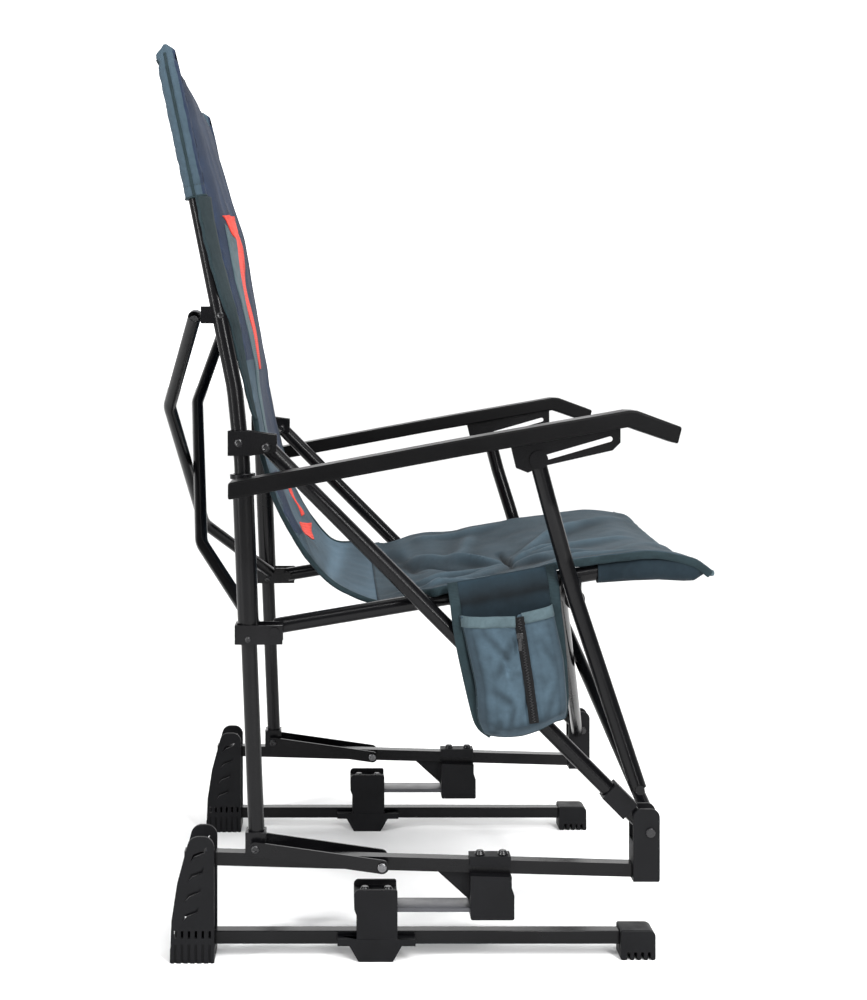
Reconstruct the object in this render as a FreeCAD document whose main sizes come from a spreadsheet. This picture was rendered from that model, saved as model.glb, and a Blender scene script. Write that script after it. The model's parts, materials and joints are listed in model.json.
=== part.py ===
import FreeCAD, Part
import math
import os
from FreeCAD import Placement, Rotation, Vector

# Camping rocking chair: two side frames on sprung rails, joined by crossing tubes and a fabric sling.
# Millimetres. +X points to the front, +Y to the far side, +Z up. The floor is at z = 0.

SIZES = {
    # widths from the middle plane to the middle of each layer of tubes
    "railOffset": 250.0, "seatRailOffset": 224.0, "strutOffset": 272.0, "armOffset": 307.0,
    "slotPlateOffset": 296.5, "strutTopOffset": 284.0,
    # sections
    "squareSide": 15.5, "squareWall": 1.5, "tubeRadius": 9.5, "tubeWall": 1.2, "slimRadius": 8.0,
    "sleeveRadius": 12.5, "sleeveBore": 10.0, "collarRadius": 15.0, "collarHeight": 6.0,
    "rivetRadius": 3.0, "rivetHead": 5.5, "rivetHeadHeight": 2.2, "boltRadius": 4.0,
    "boltHead": 6.6, "boltHeadHeight": 4.5, "sheet": 2.5, "gap": 0.3, "overrun": 5.0,
    # ground rail and what sits on it
    "railBack": 303.0, "railFront": 254.0, "railUnder": 16.2,
    "capBack": 218.0, "capFront": 259.0, "capHeight": 35.0, "capHalf": 16.0, "capRound": 8.0,
    "cornerRound": 2.5, "capSlot": 3.0, "capSlotHeight": 9.0, "capSlotPitch": 8.0,
    "bootBack": 307.0, "bootFront": 255.5, "bootHeight": 147.0, "bootHalf": 25.5, "bootWall": 4.0,
    "bootTopBack": 284.0, "bootRound": 13.0, "bootWaistBack": 305.0, "bootWaistHeight": 50.0,
    "bootBelly": 298.5, "bootBellyHeight": 93.0,
    "bootSlotLength": 20.0, "bootSlotBack": 282.4, "bootSlotShift": 3.0, "bootSlotLow": 57.3,
    "bootSlotPitch": 23.1, "bootSlitWidth": 3.0, "bootSlitHeight": 9.0, "bootSlitPitch": 8.0,
    "bootSlitLow": 29.0, "bootSlitStart": 4.8, "bootGrooveTop": 22.0,
    "lowClampBack": 93.0, "lowClampFront": 42.5, "clampHalf": 20.5, "lowClampTop": 77.0,
    "lowClampWallTop": 83.5, "clampWall": 4.0, "clampRound": 6.0, "clampStep": 3.0,
    "lowClampStepTop": 61.0, "lowClampStepUnder": 53.0,
    "padBack": 112.5, "padFront": 21.5, "padTop": 26.5, "padEdge": 18.5, "padInset": 10.5, "padHalf": 21.0,
    "humpBack": 98.5, "humpFront": 37.5,
    # leaf spring and the clamp on the upper rail
    "leafBack": 86.0, "leafFront": 88.0, "leafWidth": 36.0, "leafThick": 5.0, "leafUnder": 57.0,
    "upClampBack": 42.5, "upClampFront": 93.5, "upClampUnder": 48.5, "plateThick": 4.0,
    "topPlateHalf": 10.5, "upClampStepTop": 86.0, "upClampStepUnder": 77.0,
    "gussetBack": 3.5, "gussetDrop": 34.0, "springBoltBack": 80.0, "springBoltPitch": 27.0,
    "upBoltBack": 55.0,
    # upper rail and knuckle
    "upRailBack": 292.0, "upRailBackHeight": 117.0, "upRailFront": 250.0, "upRailFrontHeight": 102.0,
    "knuckleBack": 233.0, "knuckleFront": 264.0, "knuckleUnder": 91.0, "knuckleTop": 176.0,
    "knuckleHalf": 14.5, "knuckleWall": 4.0, "knuckleRound": 10.0, "knuckleRear": 46.0,
    # pivots of the side frame, seen from the side
    "frontPivotX": 253.0, "frontPivotZ": 148.6, "topPivotX": -195.3, "topPivotZ": 598.6,
    "seatPivotX": -186.0, "seatPivotZ": 383.0, "footX": -208.2, "footZ": 131.5,
    "linkX": -60.5, "linkHeight": 16.0, "hubX": 165.0, "hubZ": 420.5,
    "sliderX": 237.3, "sliderZ": 203.0, "sliderLength": 34.5, "armPivotX": -222.3, "armPivotZ": 553.3,
    "slotPinX": 118.0, "slotPinDrop": 21.3,
    "topEarRise": 19.0, "topEarDrop": 10.5, "topEarReach": 11.4, "seatEarHeight": 22.5,
    # post and sleeve
    "postFootX": -207.0, "postFootZ": 130.0, "postKneeX": -224.7, "postKneeZ": 582.7,
    "postBendX": -233.0, "postBendZ": 665.0, "postTopX": -310.0, "postTopZ": 1046.0, "postBend": 160.0,
    "socketDrop": 13.0, "socketHeight": 29.5, "strutBend": 57.0,
    "sleeveUnder": 368.0, "sleeveTop": 567.0,
    "upBracketX": -250.6, "upBracketZ": 753.3, "upBracketHeight": 20.0, "upBracketDepth": 15.0,
    # arm
    "armBack": -236.0, "armBackZ": 552.0, "armMidX": 27.0, "armMidZ": 601.0, "armFrontX": 216.0,
    "armFrontZ": 634.0, "armTipX": 276.0, "armTipZ": 615.0, "armHalf": 22.0, "armThick": 19.0,
    "slotBack": 86.0, "slotFront": 212.0, "slotDrop": 14.0, "slotDeep": 36.0, "slotWidth": 6.0,
    # seat rail beyond the hub
    "seatRailTurnX": 201.0, "seatRailTurnZ": 448.0, "seatRailCrownX": 259.0, "seatRailCrownZ": 455.0,
    "seatRailTipX": 302.0, "seatRailTipZ": 448.0, "seatRailBend": 120.0,
    # rear crossing tubes
    "rearTopX": -281.0, "rearTopZ": 752.0, "rearBowX": -309.0, "rearBowZ": 642.0,
    "rearBellyX": -284.0, "rearBellyZ": 470.0, "rearFootX": -212.0, "rearFootZ": 386.0,
    "rearShift": 17.0, "rearFootOffset": 226.0, "rearTopOffset": 243.0, "rearBend": 45.0,
    # front crossing tubes
    "frontCrossOffset": 228.6, "frontCrossShift": 9.0, "frontCrossTopOffset": 203.0,
    "hubRadius": 12.0, "hubInner": 207.8,
    # cloth
    "clothThick": 4.0, "backHalf": 240.2, "backHipHalf": 228.0, "seatHalf": 236.0, "seatGap": 2.5,
    "seatLip": 32.0, "sag": 16.0,
    "bagBack": 15.0, "bagFront": 141.0, "bagTop": 440.0, "bagUnder": 266.0, "bagInner": 264.0,
    "bagDepth": 34.0, "bagFlap": 12.0, "zipX": 94.0, "zipZ": 372.0, "zipLength": 15.0, "zipWidth": 5.0,
    "zipThick": 1.6,
}

BACK_PROFILE = (
    ("backTopX", -313.0, "backTopZ", 1060.0), ("backOneX", -281.0, "backOneZ", 960.0),
    ("backTwoX", -255.0, "backTwoZ", 850.0), ("backThreeX", -222.0, "backThreeZ", 745.0),
    ("backFourX", -206.0, "backFourZ", 660.0), ("backFiveX", -186.0, "backFiveZ", 580.0),
    ("backSixX", -150.0, "backSixZ", 500.0), ("backSevenX", -105.0, "backSevenZ", 430.0),
    ("backEightX", -58.0, "backEightZ", 392.0),
)
# the seat's line, as shares of the straight run of the seat rail
SEAT_SHARES = (0.43, 0.5, 0.65, 0.83, 1.0)
# how far each sling sags at the points of its line, as shares of the full sag
BACK_SAG_SHARES = (0.0, 0.2, 0.5, 0.8, 1.0, 1.0, 1.0, 1.0, 0.8)
SEAT_SAG_SHARES = (0.8, 1.0, 1.0, 1.0, 1.0, 0.9, 0.6, 0.3, 0.1)
# one slot of the boot's side: along and up, as shares of its length
BOOT_SLOT_SHARES = ((-0.5, -0.46), (-0.24, -0.16), (0.37, 0.09), (0.46, 0.44), (0.27, 0.22), (-0.32, 0))
# the two bends of the arm strut over the hub: along, up and outward as shares of the way to its top pin
STRUT_BEND_SHARES = ((0.3, 0.3, 0), (0.7, 0.68, 1))
# the lower edge of the slot plate, in from its back and front ends and down, as shares of its depth
BACK_EDGE_SHARES = ((0, 0), (0.17, 0.7), (0.55, 0.85), (1, 0.65))
FRONT_EDGE_SHARES = ((0.25, 0.75), (0, 0.5), (0, 0))
for x_name, x_size, z_name, z_size in BACK_PROFILE:
    SIZES[x_name] = x_size
    SIZES[z_name] = z_size

doc = FreeCAD.newDocument("chair")
sheet = doc.addObject("Spreadsheet::Sheet", "Sizes")
for row, (alias, number) in enumerate(SIZES.items(), start=1):
    sheet.set("A%d" % row, alias)
    sheet.set("B%d" % row, str(number))
    sheet.setAlias("B%d" % row, alias)
doc.recompute()

NODES = []
SIDES = (("near", -1), ("far", 1))


def size(alias):
    return float(sheet.get(alias))


def point(name, across):
    return Vector(size(name + "X"), across, size(name + "Z"))


def bind(item, prop, formula):
    """Sets a property to a formula of the sheet's sizes, or to a number worked out from them."""
    if not isinstance(formula, str):
        setattr(item, prop, formula)
        return
    words = formula.replace("(", " ( ").replace(")", " ) ").split()
    item.setExpression(prop, " ".join("Sizes." + w if w in SIZES else w for w in words))


def keep(item, label):
    item.Label = label
    NODES.append(item)
    return item


def cylinder(radius, height, start, towards):
    rod = doc.addObject("Part::Cylinder", "Rod")
    bind(rod, "Radius", radius)
    bind(rod, "Height", height)
    rod.Placement = Placement(start, Rotation(Vector(0, 0, 1), towards))
    return rod


def box(length, width, height, corner):
    return tilted_box(length, width, height, corner, Vector(1, 0, 0), Vector())


def tilted_box(length, width, height, start, along, shift):
    """A box that lies along a direction in the side view, its corner shifted from the start."""
    block = doc.addObject("Part::Box", "Block")
    bind(block, "Length", length)
    bind(block, "Width", width)
    bind(block, "Height", height)
    turn = Rotation(Vector(0, 1, 0), -math.degrees(math.atan2(along.z, along.x)))
    block.Placement = Placement(start, turn).multiply(Placement(shift, Rotation()))
    return block


def cut(base, *tools):
    for tool in tools:
        result = doc.addObject("Part::Cut", "Cut")
        result.Base = base
        result.Tool = tool
        base = result
    return base


def fuse(*items):
    result = doc.addObject("Part::MultiFuse", "Joined")
    result.Shapes = list(items)
    result.Refine = True
    return result


def group(*items):
    result = doc.addObject("Part::Compound", "Group")
    result.Links = list(items)
    return result


def corner_arc(before, corner, after, radius):
    """Start, middle and end of the arc that rounds a corner, as far as the lines beside it allow."""
    inward = (before - corner).normalize()
    outward = (after - corner).normalize()
    half = inward.getAngle(outward) / 2
    reach = radius / math.tan(half)
    reach = min(reach, (before - corner).Length * 0.45, (after - corner).Length * 0.45)
    bend = reach * math.tan(half)
    centre = corner + (inward + outward).normalize() * (bend / math.sin(half))
    middle = centre + (corner - centre).normalize() * bend
    return corner + inward * reach, middle, corner + outward * reach


def plate(outline, across, thickness):
    """A pad of an outline in the side view, its middle plane at y = across.

    A corner is (x, z), or (x, z, radius) for a rounded one."""
    body = doc.addObject("PartDesign::Body", "Plate")
    sketch = body.newObject("Sketcher::SketchObject", "Outline")
    plane = next(f for f in body.Origin.OriginFeatures if f.Role == "XZ_Plane")
    sketch.AttachmentSupport = [(plane, "")]
    sketch.MapMode = "FlatFace"
    corners = [Vector(spot[0], spot[1], 0) for spot in outline]
    ends = []
    for spot, before, corner, after in zip(outline, corners[-1:] + corners, corners, corners[1:] + corners[:1]):
        start, end = corner, corner
        if len(spot) == 3:
            start, middle, end = corner_arc(before, corner, after, spot[2])
            sketch.addGeometry(Part.Arc(start, middle, end), False)
        ends.append((start, end))
    for first, second in zip(ends, ends[1:] + ends[:1]):
        sketch.addGeometry(Part.LineSegment(first[1], second[0]), False)
    pad = body.newObject("PartDesign::Pad", "Pad")
    pad.Profile = sketch
    bind(pad, "Length", thickness)
    pad.Midplane = True
    body.Tip = pad
    body.Placement = Placement(Vector(0, across, 0), Rotation())
    return body


def rounded_path(points, radius):
    """Straight runs joined by tangent arcs."""
    edges = []
    last = points[0]
    for before, corner, after in zip(points, points[1:], points[2:]):
        start, middle, end = corner_arc(before, corner, after, radius)
        edges.append(Part.LineSegment(last, start).toShape())
        edges.append(Part.Arc(start, middle, end).toShape())
        last = end
    edges.append(Part.LineSegment(last, points[-1]).toShape())
    return Part.Wire(edges)


def pipe(path, radius):
    first = path.Edges[0]
    start = first.valueAt(first.FirstParameter)
    tangent = first.tangentAt(first.FirstParameter)
    ring = Part.Wire(Part.makeCircle(radius, start, tangent))
    return path.makePipeShell([ring], True, False)


def bent_tube(label, points, radius, bend):
    path = rounded_path(points, bend)
    tube = doc.addObject("Part::Feature", "BentTube")
    tube.Shape = pipe(path, radius).cut(pipe(path, radius - size("tubeWall")))
    return keep(tube, label) if label else tube


def straight_tube(label, start, end, radius="tubeRadius"):
    along = end - start
    tube = doc.addObject("Part::Feature", "Tube")
    outer = Part.makeCylinder(size(radius), along.Length, start, along)
    inner = Part.makeCylinder(size(radius) - size("tubeWall"), along.Length, start, along)
    tube.Shape = outer.cut(inner)
    return keep(tube, label) if label else tube


def rivet(place, reach):
    """A shaft across the frame with a flat round head at each end."""
    start = place - Vector(0, reach, 0)
    shaft = cylinder("rivetRadius", 2 * reach, start, Vector(0, 1, 0))
    heads = []
    for end, way in ((start, -1), (place + Vector(0, reach, 0), 1)):
        heads.append(cylinder("rivetHead", "rivetHeadHeight", end, Vector(0, way, 0)))
    return fuse(shaft, *heads)


def square_tube(label, start, end):
    """A square tube with its side faces upright, from start to end in one side plane."""
    along = end - start
    half = size("squareSide") / 2
    inside = half - size("squareWall")
    outer = tilted_box(along.Length, "squareSide", "squareSide", start, along, Vector(0, -half, -half))
    inner = tilted_box(along.Length, "squareSide - 2 * squareWall", "squareSide - 2 * squareWall", start,
                       along, Vector(0, -inside, -inside))
    tube = cut(outer, inner)
    return keep(tube, label) if label else tube


def rail_hole(back, front, across):
    """The room that the ground rail takes in the pieces round it."""
    corner = Vector(-back, across - size("squareSide") / 2, size("railUnder"))
    return box(back + front, "squareSide", "squareSide", corner)


def ground_rail(name, across):
    middle = size("railUnder") + size("squareSide") / 2
    start = Vector(-size("railBack"), across, middle)
    square_tube(name + "_ground_rail", start, Vector(size("railFront"), across, middle))


def end_cap(name, across):
    half = size("capHalf")
    back = size("capBack")
    front = size("capFront")
    small = size("cornerRound")
    shell = plate([(back, 0, small), (front, 0, small), (front, size("capHeight"), size("capRound")),
                   (back, size("capHeight"), small)], across, "2 * capHalf")
    tools = [rail_hole(-size("capBack") + size("overrun"), size("railFront"), across)]
    for number in range(4):
        left = size("capBack") + size("capSlotPitch") * (number + 1)
        corner = Vector(left, across - half - size("overrun"), -size("overrun"))
        tools.append(box("capSlot", "2 * capHalf + 2 * overrun", "capSlotHeight + overrun", corner))
    keep(cut(shell, *tools), name + "_end_cap")


def boot_outline():
    back = -size("bootBack")
    front = -size("bootFront")
    small = size("cornerRound")
    return [
        (back, 0, small), (front, 0, small), (front, size("bootHeight"), size("bootRound")),
        (-size("bootTopBack"), size("bootHeight"), size("bootRound")),
        (-size("bootBelly"), size("bootBellyHeight")), (-size("bootWaistBack"), size("bootWaistHeight")),
    ]


def boot_slots(across):
    """The four slanting slots through both sides of a boot."""
    tools = []
    for number in range(4):
        middle = number * size("bootSlotShift") - size("bootSlotBack")
        level = size("bootSlotLow") + number * size("bootSlotPitch")
        outline = [(middle + size("bootSlotLength") * along, level + size("bootSlotLength") * up)
                   for along, up in BOOT_SLOT_SHARES]
        tools.append(plate(outline, across, "2 * bootHalf + 2 * overrun"))
    return tools


def boot_slits(across):
    """A row of slits over the rail's foot, and grooves under them in the outer faces."""
    tools = []
    for number in range(6):
        left = size("bootSlitStart") - size("bootBack") + size("bootSlitPitch") * number
        corner = Vector(left, across - size("bootHalf") - size("overrun"), size("bootSlitLow"))
        tools.append(box("bootSlitWidth", "2 * bootHalf + 2 * overrun", "bootSlitHeight", corner))
        for way in (-1, 1):
            side = across + way * size("bootHalf") - size("bootWall") / 2
            tools.append(box("bootSlitWidth", "bootWall", "bootGrooveTop + overrun",
                             Vector(left, side, -size("overrun"))))
    return tools


def rear_boot(name, across):
    wall_middle = size("bootHalf") - size("bootWall") / 2
    walls = []
    for way in (-1, 1):
        walls.append(plate(boot_outline(), across + way * wall_middle, "bootWall"))
    floor_block = box("bootBack - bootFront", "2 * bootHalf - bootWall", "railUnder",
                      Vector(-size("bootBack"), across - size("bootHalf") + size("bootWall") / 2, 0))
    tools = boot_slots(across) + boot_slits(across)
    keep(cut(fuse(floor_block, *walls), *tools), name + "_rear_boot")


def low_clamp(name, across):
    back = -size("lowClampBack")
    front = -size("lowClampFront")
    pad_top = size("padTop")
    wall_top = size("lowClampWallTop")
    shell = plate([
        (back + size("clampStep"), pad_top), (front, pad_top), (front, wall_top, size("cornerRound")),
        (back, wall_top, size("clampRound")), (back, size("lowClampStepTop"), size("clampRound")),
        (back + size("clampStep"), size("lowClampStepUnder"), size("clampRound")),
    ], across, "2 * clampHalf")
    edge = size("padEdge")
    foot = plate([
        (-size("padBack"), pad_top), (-size("padFront"), pad_top), (-size("padFront"), edge),
        (-size("humpFront"), edge), (-size("humpFront") - size("padInset"), 0, size("cornerRound")),
        (-size("humpBack") + size("padInset"), 0, size("cornerRound")), (-size("humpBack"), edge),
        (-size("padBack"), edge),
    ], across, "2 * padHalf")
    bolt_room = box("lowClampBack - lowClampFront + 2 * overrun", "2 * clampHalf - 2 * clampWall",
                    "lowClampWallTop", Vector(back - size("overrun"),
                                              across - size("clampHalf") + size("clampWall"),
                                              size("lowClampTop")))
    leaf_room = box("leafBack", "leafWidth + 2 * gap", "leafThick",
                    Vector(-size("leafBack"), across - size("leafWidth") / 2 - size("gap"),
                           size("leafUnder")))
    over = size("overrun")
    rail_room = rail_hole(size("padBack") + over, over - size("padFront"), across)
    tools = [leaf_room, rail_room, bolt_room]
    for number in range(2):
        x_place = -size("springBoltBack") + number * size("springBoltPitch")
        hole = cylinder("boltRadius", "lowClampTop", Vector(x_place, across, size("leafUnder")),
                        Vector(0, 0, 1))
        tools.append(hole)
    keep(cut(fuse(shell, foot), *tools), name + "_lower_clamp")


def dome_bolt(x_place, across, seat_height, shaft_height):
    shaft = cylinder("boltRadius", shaft_height, Vector(x_place, across, seat_height - shaft_height),
                     Vector(0, 0, 1))
    head = doc.addObject("Part::Cone", "BoltHead")
    bind(head, "Radius1", "boltHead")
    bind(head, "Radius2", "boltRadius")
    bind(head, "Height", "boltHeadHeight")
    head.Placement = Placement(Vector(x_place, across, seat_height), Rotation())
    return fuse(shaft, head)


def low_bolts(name, across):
    top = size("lowClampTop")
    reach = top - size("leafUnder") - size("leafThick")
    bolts = []
    for number in range(2):
        x_place = -size("springBoltBack") + number * size("springBoltPitch")
        bolts.append(dome_bolt(x_place, across, top, reach))
    keep(group(*bolts), name + "_lower_bolts")


def leaf_spring(name, across):
    corner = Vector(-size("leafBack"), across - size("leafWidth") / 2, size("leafUnder"))
    keep(box("leafBack + leafFront", "leafWidth", "leafThick", corner), name + "_leaf_spring")


def up_rail_height(x_place):
    share = (x_place + size("upRailBack")) / (size("upRailBack") + size("upRailFront"))
    return size("upRailBackHeight") + share * (size("upRailFrontHeight") - size("upRailBackHeight"))


def link_point(across):
    """The pivot of the rear links, on the upper rail's centre line."""
    return Vector(size("linkX"), across, up_rail_height(size("linkX")))


def upper_rail(name, across):
    start = Vector(-size("upRailBack"), across, size("upRailBackHeight"))
    end = Vector(size("upRailFront"), across, size("upRailFrontHeight"))
    tube = square_tube(None, start, end)
    bore = cylinder("rivetRadius", "4 * squareSide", link_point(across - 2 * size("squareSide")),
                    Vector(0, 1, 0))
    keep(cut(tube, bore), name + "_upper_rail")


def upper_rail_hole(across):
    """The room that the upper rail takes in the pieces round it."""
    start = Vector(-size("upRailBack"), across, size("upRailBackHeight"))
    along = Vector(size("upRailFront"), across, size("upRailFrontHeight")) - start
    half = size("squareSide") / 2
    return tilted_box(along.Length, "squareSide", "squareSide", start, along, Vector(0, -half, -half))


def upper_clamp(name, across):
    """The block under the upper rail with its gusset, and the bolts' plate on top of the rail."""
    back = size("upClampBack")
    front = size("upClampFront")
    inner_front = front - size("clampStep")
    half = size("squareSide") / 2
    top = up_rail_height(back) + half + size("plateThick")
    under = size("upClampUnder")
    small = size("cornerRound")
    block = plate([
        (back, up_rail_height(back) - half), (back, under, small), (front, under, small),
        (front, size("upClampStepUnder"), size("clampRound")),
        (inner_front, size("upClampStepTop"), size("clampRound")),
        (inner_front, up_rail_height(inner_front) - half),
    ], across, "2 * clampHalf")
    rail_low = up_rail_height(back) - half
    gusset = plate([(back, rail_low), (size("gussetBack"), up_rail_height(size("gussetBack")) - half),
                    (back, rail_low - size("gussetDrop"))], across, "sheet")
    leaf_room = box("leafFront - upClampBack", "leafWidth + 2 * gap", "leafThick",
                    Vector(back, across - size("leafWidth") / 2 - size("gap"), size("leafUnder")))
    top_plate = plate([(back, up_rail_height(back)), (inner_front, up_rail_height(inner_front)),
                       (inner_front, top), (back, top)], across, "2 * topPlateHalf")
    bores = []
    for number in range(2):
        x_place = size("upBoltBack") + number * size("springBoltPitch")
        bores.append(cylinder("boltRadius", "bootHeight",
                              Vector(x_place, across, up_rail_height(x_place)), Vector(0, 0, 1)))
    lower = cut(fuse(block, gusset), leaf_room, upper_rail_hole(across))
    upper = cut(top_plate, upper_rail_hole(across), *bores)
    keep(group(lower, upper), name + "_upper_clamp")


def upper_bolts(name, across):
    top = up_rail_height(size("upClampBack")) + size("squareSide") / 2 + size("plateThick")
    bolts = []
    for number in range(2):
        x_place = size("upBoltBack") + number * size("springBoltPitch")
        bolts.append(dome_bolt(x_place, across, top, size("plateThick") / 2))
    keep(group(*bolts), name + "_upper_bolts")


def knuckle(name, across):
    back = size("knuckleBack")
    front = size("knuckleFront")
    low = size("knuckleUnder")
    high = size("knuckleTop")
    big = size("knuckleRound")
    small = size("cornerRound")
    outline = [(back, low), (front, low, small), (front, high, big), (back, high, big)]
    cheeks = []
    for way in (-1, 1):
        middle = across + way * (size("knuckleHalf") - size("knuckleWall") / 2)
        cheeks.append(plate(outline, middle, "knuckleWall"))
    inner = across - size("knuckleHalf") + size("knuckleWall") / 2
    web = box("knuckleFront - knuckleBack - knuckleRound", "2 * knuckleHalf - knuckleWall", "knuckleWall",
              Vector(back, inner, low))
    rear = box("knuckleWall", "2 * knuckleHalf - knuckleWall", "knuckleRear", Vector(back, inner, low))
    bore = cylinder("rivetRadius", "4 * knuckleHalf",
                    point("frontPivot", across - 2 * size("knuckleHalf")), Vector(0, 1, 0))
    keep(cut(fuse(web, rear, *cheeks), bore, upper_rail_hole(across)), name + "_knuckle")


def pivot_bolts(name, across):
    """The bolt of the brace in the knuckle and the bolt of the links on the upper rail."""
    reach = size("knuckleHalf")
    front = rivet(point("frontPivot", across), reach)
    link_reach = size("clampHalf") + size("sheet") / 2
    rear = rivet(link_point(across), link_reach)
    keep(group(front, rear), name + "_pivot_bolts")


def rear_links(name, across):
    """Two flat bars with round ends, one each side of the upper rail, up to the foot of the post."""
    bars = []
    start = point("foot", across)
    along = link_point(across) - start
    half = size("linkHeight") / 2
    for way in (-1, 1):
        middle = across + way * size("clampHalf")
        bar = tilted_box(along.Length, "sheet", "linkHeight", Vector(start.x, middle, start.z), along,
                         Vector(0, -size("sheet") / 2, -half))
        for spot in (start, start + along):
            face = Vector(spot.x, middle - size("sheet") / 2, spot.z)
            bar = fuse(bar, cylinder("linkHeight / 2", "sheet", face, Vector(0, 1, 0)))
        hole = cylinder("rivetRadius + gap / 6", "4 * sheet",
                        Vector(start.x + along.x, middle - 2 * size("sheet"), start.z + along.z),
                        Vector(0, 1, 0))
        bars.append(cut(bar, hole))
    keep(group(*bars), name + "_rear_links")


def brace_end(share, across):
    """A point on the brace's centre line, from its foot (0) to its top (1)."""
    start = point("frontPivot", across)
    return start + (point("topPivot", across) - start) * share


def brace(name, across):
    tube = straight_tube(None, brace_end(0, across), brace_end(1, across))
    tools = []
    for place in ("frontPivot", "topPivot"):
        tools.append(cylinder("rivetRadius + gap / 6", "4 * tubeRadius",
                              point(place, across - 2 * size("tubeRadius")), Vector(0, 1, 0)))
    keep(cut(tube, *tools), name + "_brace")


def slider(name, across):
    """The block that runs on the brace and holds the foot of the arm strut."""
    along = (brace_end(1, across) - brace_end(0, across)).normalize()
    foot = brace_end(0, across)
    middle = foot + along * (point("slider", across) - foot).dot(along)
    half = size("tubeRadius") + size("sheet")
    block = tilted_box("sliderLength", "2 * tubeRadius + 2 * sheet", "2 * tubeRadius + 2 * sheet", middle,
                       along, Vector(-size("sliderLength") / 2, -half, -half))
    room = cylinder("tubeRadius + gap", "2 * sliderLength", middle - along * size("sliderLength"), along)
    keep(cut(block, room), name + "_slider")


def post(name, across):
    points = [point("postFoot", across), point("postKnee", across), point("postBend", across),
              point("postTop", across)]
    bent_tube(name + "_post", points, size("tubeRadius"), size("postBend"))


def post_x(height):
    """The place of the post's centre line at a height, up to its bend."""
    if height > size("postKneeZ"):
        share = (height - size("postKneeZ")) / (size("postBendZ") - size("postKneeZ"))
        return size("postKneeX") + share * (size("postBendX") - size("postKneeX"))
    share = (height - size("postFootZ")) / (size("postKneeZ") - size("postFootZ"))
    return size("postFootX") + share * (size("postKneeX") - size("postFootX"))


def channel(across, low, high, inner, reach_front, front_low, front_high, pivot):
    """A sheet wrapped round the post with an ear to the front on each side."""
    wall = size("sheet")
    back = min(post_x(low), post_x(high)) - inner - wall
    outline = [
        (back, low), (post_x(low) + inner, low), (reach_front, front_low), (reach_front, front_high),
        (post_x(high) + inner, high), (back, high),
    ]
    cheeks = []
    for way in (-1, 1):
        cheeks.append(plate(outline, across + way * (inner + wall / 2), "sheet"))
    web = box("sheet", 2 * inner + wall, high - low, Vector(back, across - inner - wall / 2, low))
    bore = cylinder("rivetRadius", "8 * tubeRadius",
                    point(pivot, across - 4 * size("tubeRadius")), Vector(0, 1, 0))
    return cut(fuse(web, *cheeks), bore)


def brace_bracket(name, across):
    """The folded bracket on the post that holds the top of the brace, with its rivets."""
    radius = size("tubeRadius")
    high = size("topPivotZ") + size("topEarRise")
    low = size("topPivotZ") - size("topEarDrop")
    front = size("topPivotX") + size("topEarReach")
    body = channel(across, low, high, radius + 2 * size("gap"), front, low + radius / 2,
                   high - radius / 2, "topPivot")
    pin = rivet(point("topPivot", across), radius + 2 * size("gap") + size("sheet"))
    keep(group(body, pin), name + "_brace_bracket")


def sleeve(name, across):
    """The tube that slides on the post, with its collar."""
    low = size("sleeveUnder")
    start = Vector(post_x(low), across, low)
    end = Vector(post_x(size("sleeveTop")), across, size("sleeveTop"))
    along = end - start
    tube = doc.addObject("Part::Feature", "Sleeve")
    outer = Part.makeCylinder(size("sleeveRadius"), along.Length, start, along)
    collar_start = end - along * (size("collarHeight") / along.Length)
    collar = Part.makeCylinder(size("collarRadius"), size("collarHeight"), collar_start, along)
    inner = Part.makeCylinder(size("sleeveBore"), along.Length, start, along)
    tube.Shape = outer.fuse(collar).cut(inner).removeSplitter()
    keep(tube, name + "_sleeve")


def sleeve_bracket(name, across, side):
    """The folded bracket at the foot of the sleeve that holds the seat rail."""
    radius = size("sleeveRadius")
    low = size("sleeveUnder")
    high = low + size("seatEarHeight")
    front = size("seatPivotX") + size("tubeRadius")
    body = channel(across, low, high, radius + size("gap"), front, low + size("gap"), high,
                   "seatPivot")
    inner = size("railOffset") - size("seatRailOffset") + size("tubeRadius")
    start = point("seatPivot", across + side * (radius + size("gap") + size("sheet")))
    pin = cylinder("rivetRadius", radius + size("sheet") + inner + 2 * size("gap"), start,
                   Vector(0, -side, 0))
    head = cylinder("rivetHead", "rivetHeadHeight", start, Vector(0, side, 0))
    tail_place = point("seatPivot", across - side * (inner + size("gap")))
    tail = cylinder("rivetHead", "rivetHeadHeight", tail_place, Vector(0, -side, 0))
    arm_start = point("armPivot", across + side * (size("sleeveRadius") - size("gap")))
    arm_reach = size("armOffset") - size("armHalf") - size("railOffset") - size("sleeveRadius")
    arm_pin = cylinder("rivetHead", arm_reach, arm_start, Vector(0, side, 0))
    sleeve_room = cylinder("sleeveRadius", "sleeveTop - sleeveUnder",
                           Vector(post_x(low), across, low),
                           Vector(post_x(size("sleeveTop")) - post_x(low), 0,
                                  size("sleeveTop") - low))
    keep(group(body, fuse(pin, head, tail), cut(arm_pin, sleeve_room)), name + "_sleeve_bracket")


def seat_rail(name, side):
    across = side * size("seatRailOffset")
    points = [point("seatPivot", across), point("seatRailTurn", across),
              point("seatRailCrown", across), point("seatRailTip", across)]
    tube = bent_tube(None, points, size("tubeRadius"), size("seatRailBend"))
    bore = cylinder("rivetRadius + gap / 6", "4 * tubeRadius",
                    point("seatPivot", across - 2 * size("tubeRadius")), Vector(0, 1, 0))
    keep(cut(tube, bore), name + "_seat_rail")


def seat_rail_height(x_place):
    share = (x_place - size("seatPivotX")) / (size("seatRailTurnX") - size("seatPivotX"))
    return size("seatPivotZ") + share * (size("seatRailTurnZ") - size("seatPivotZ"))


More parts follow.
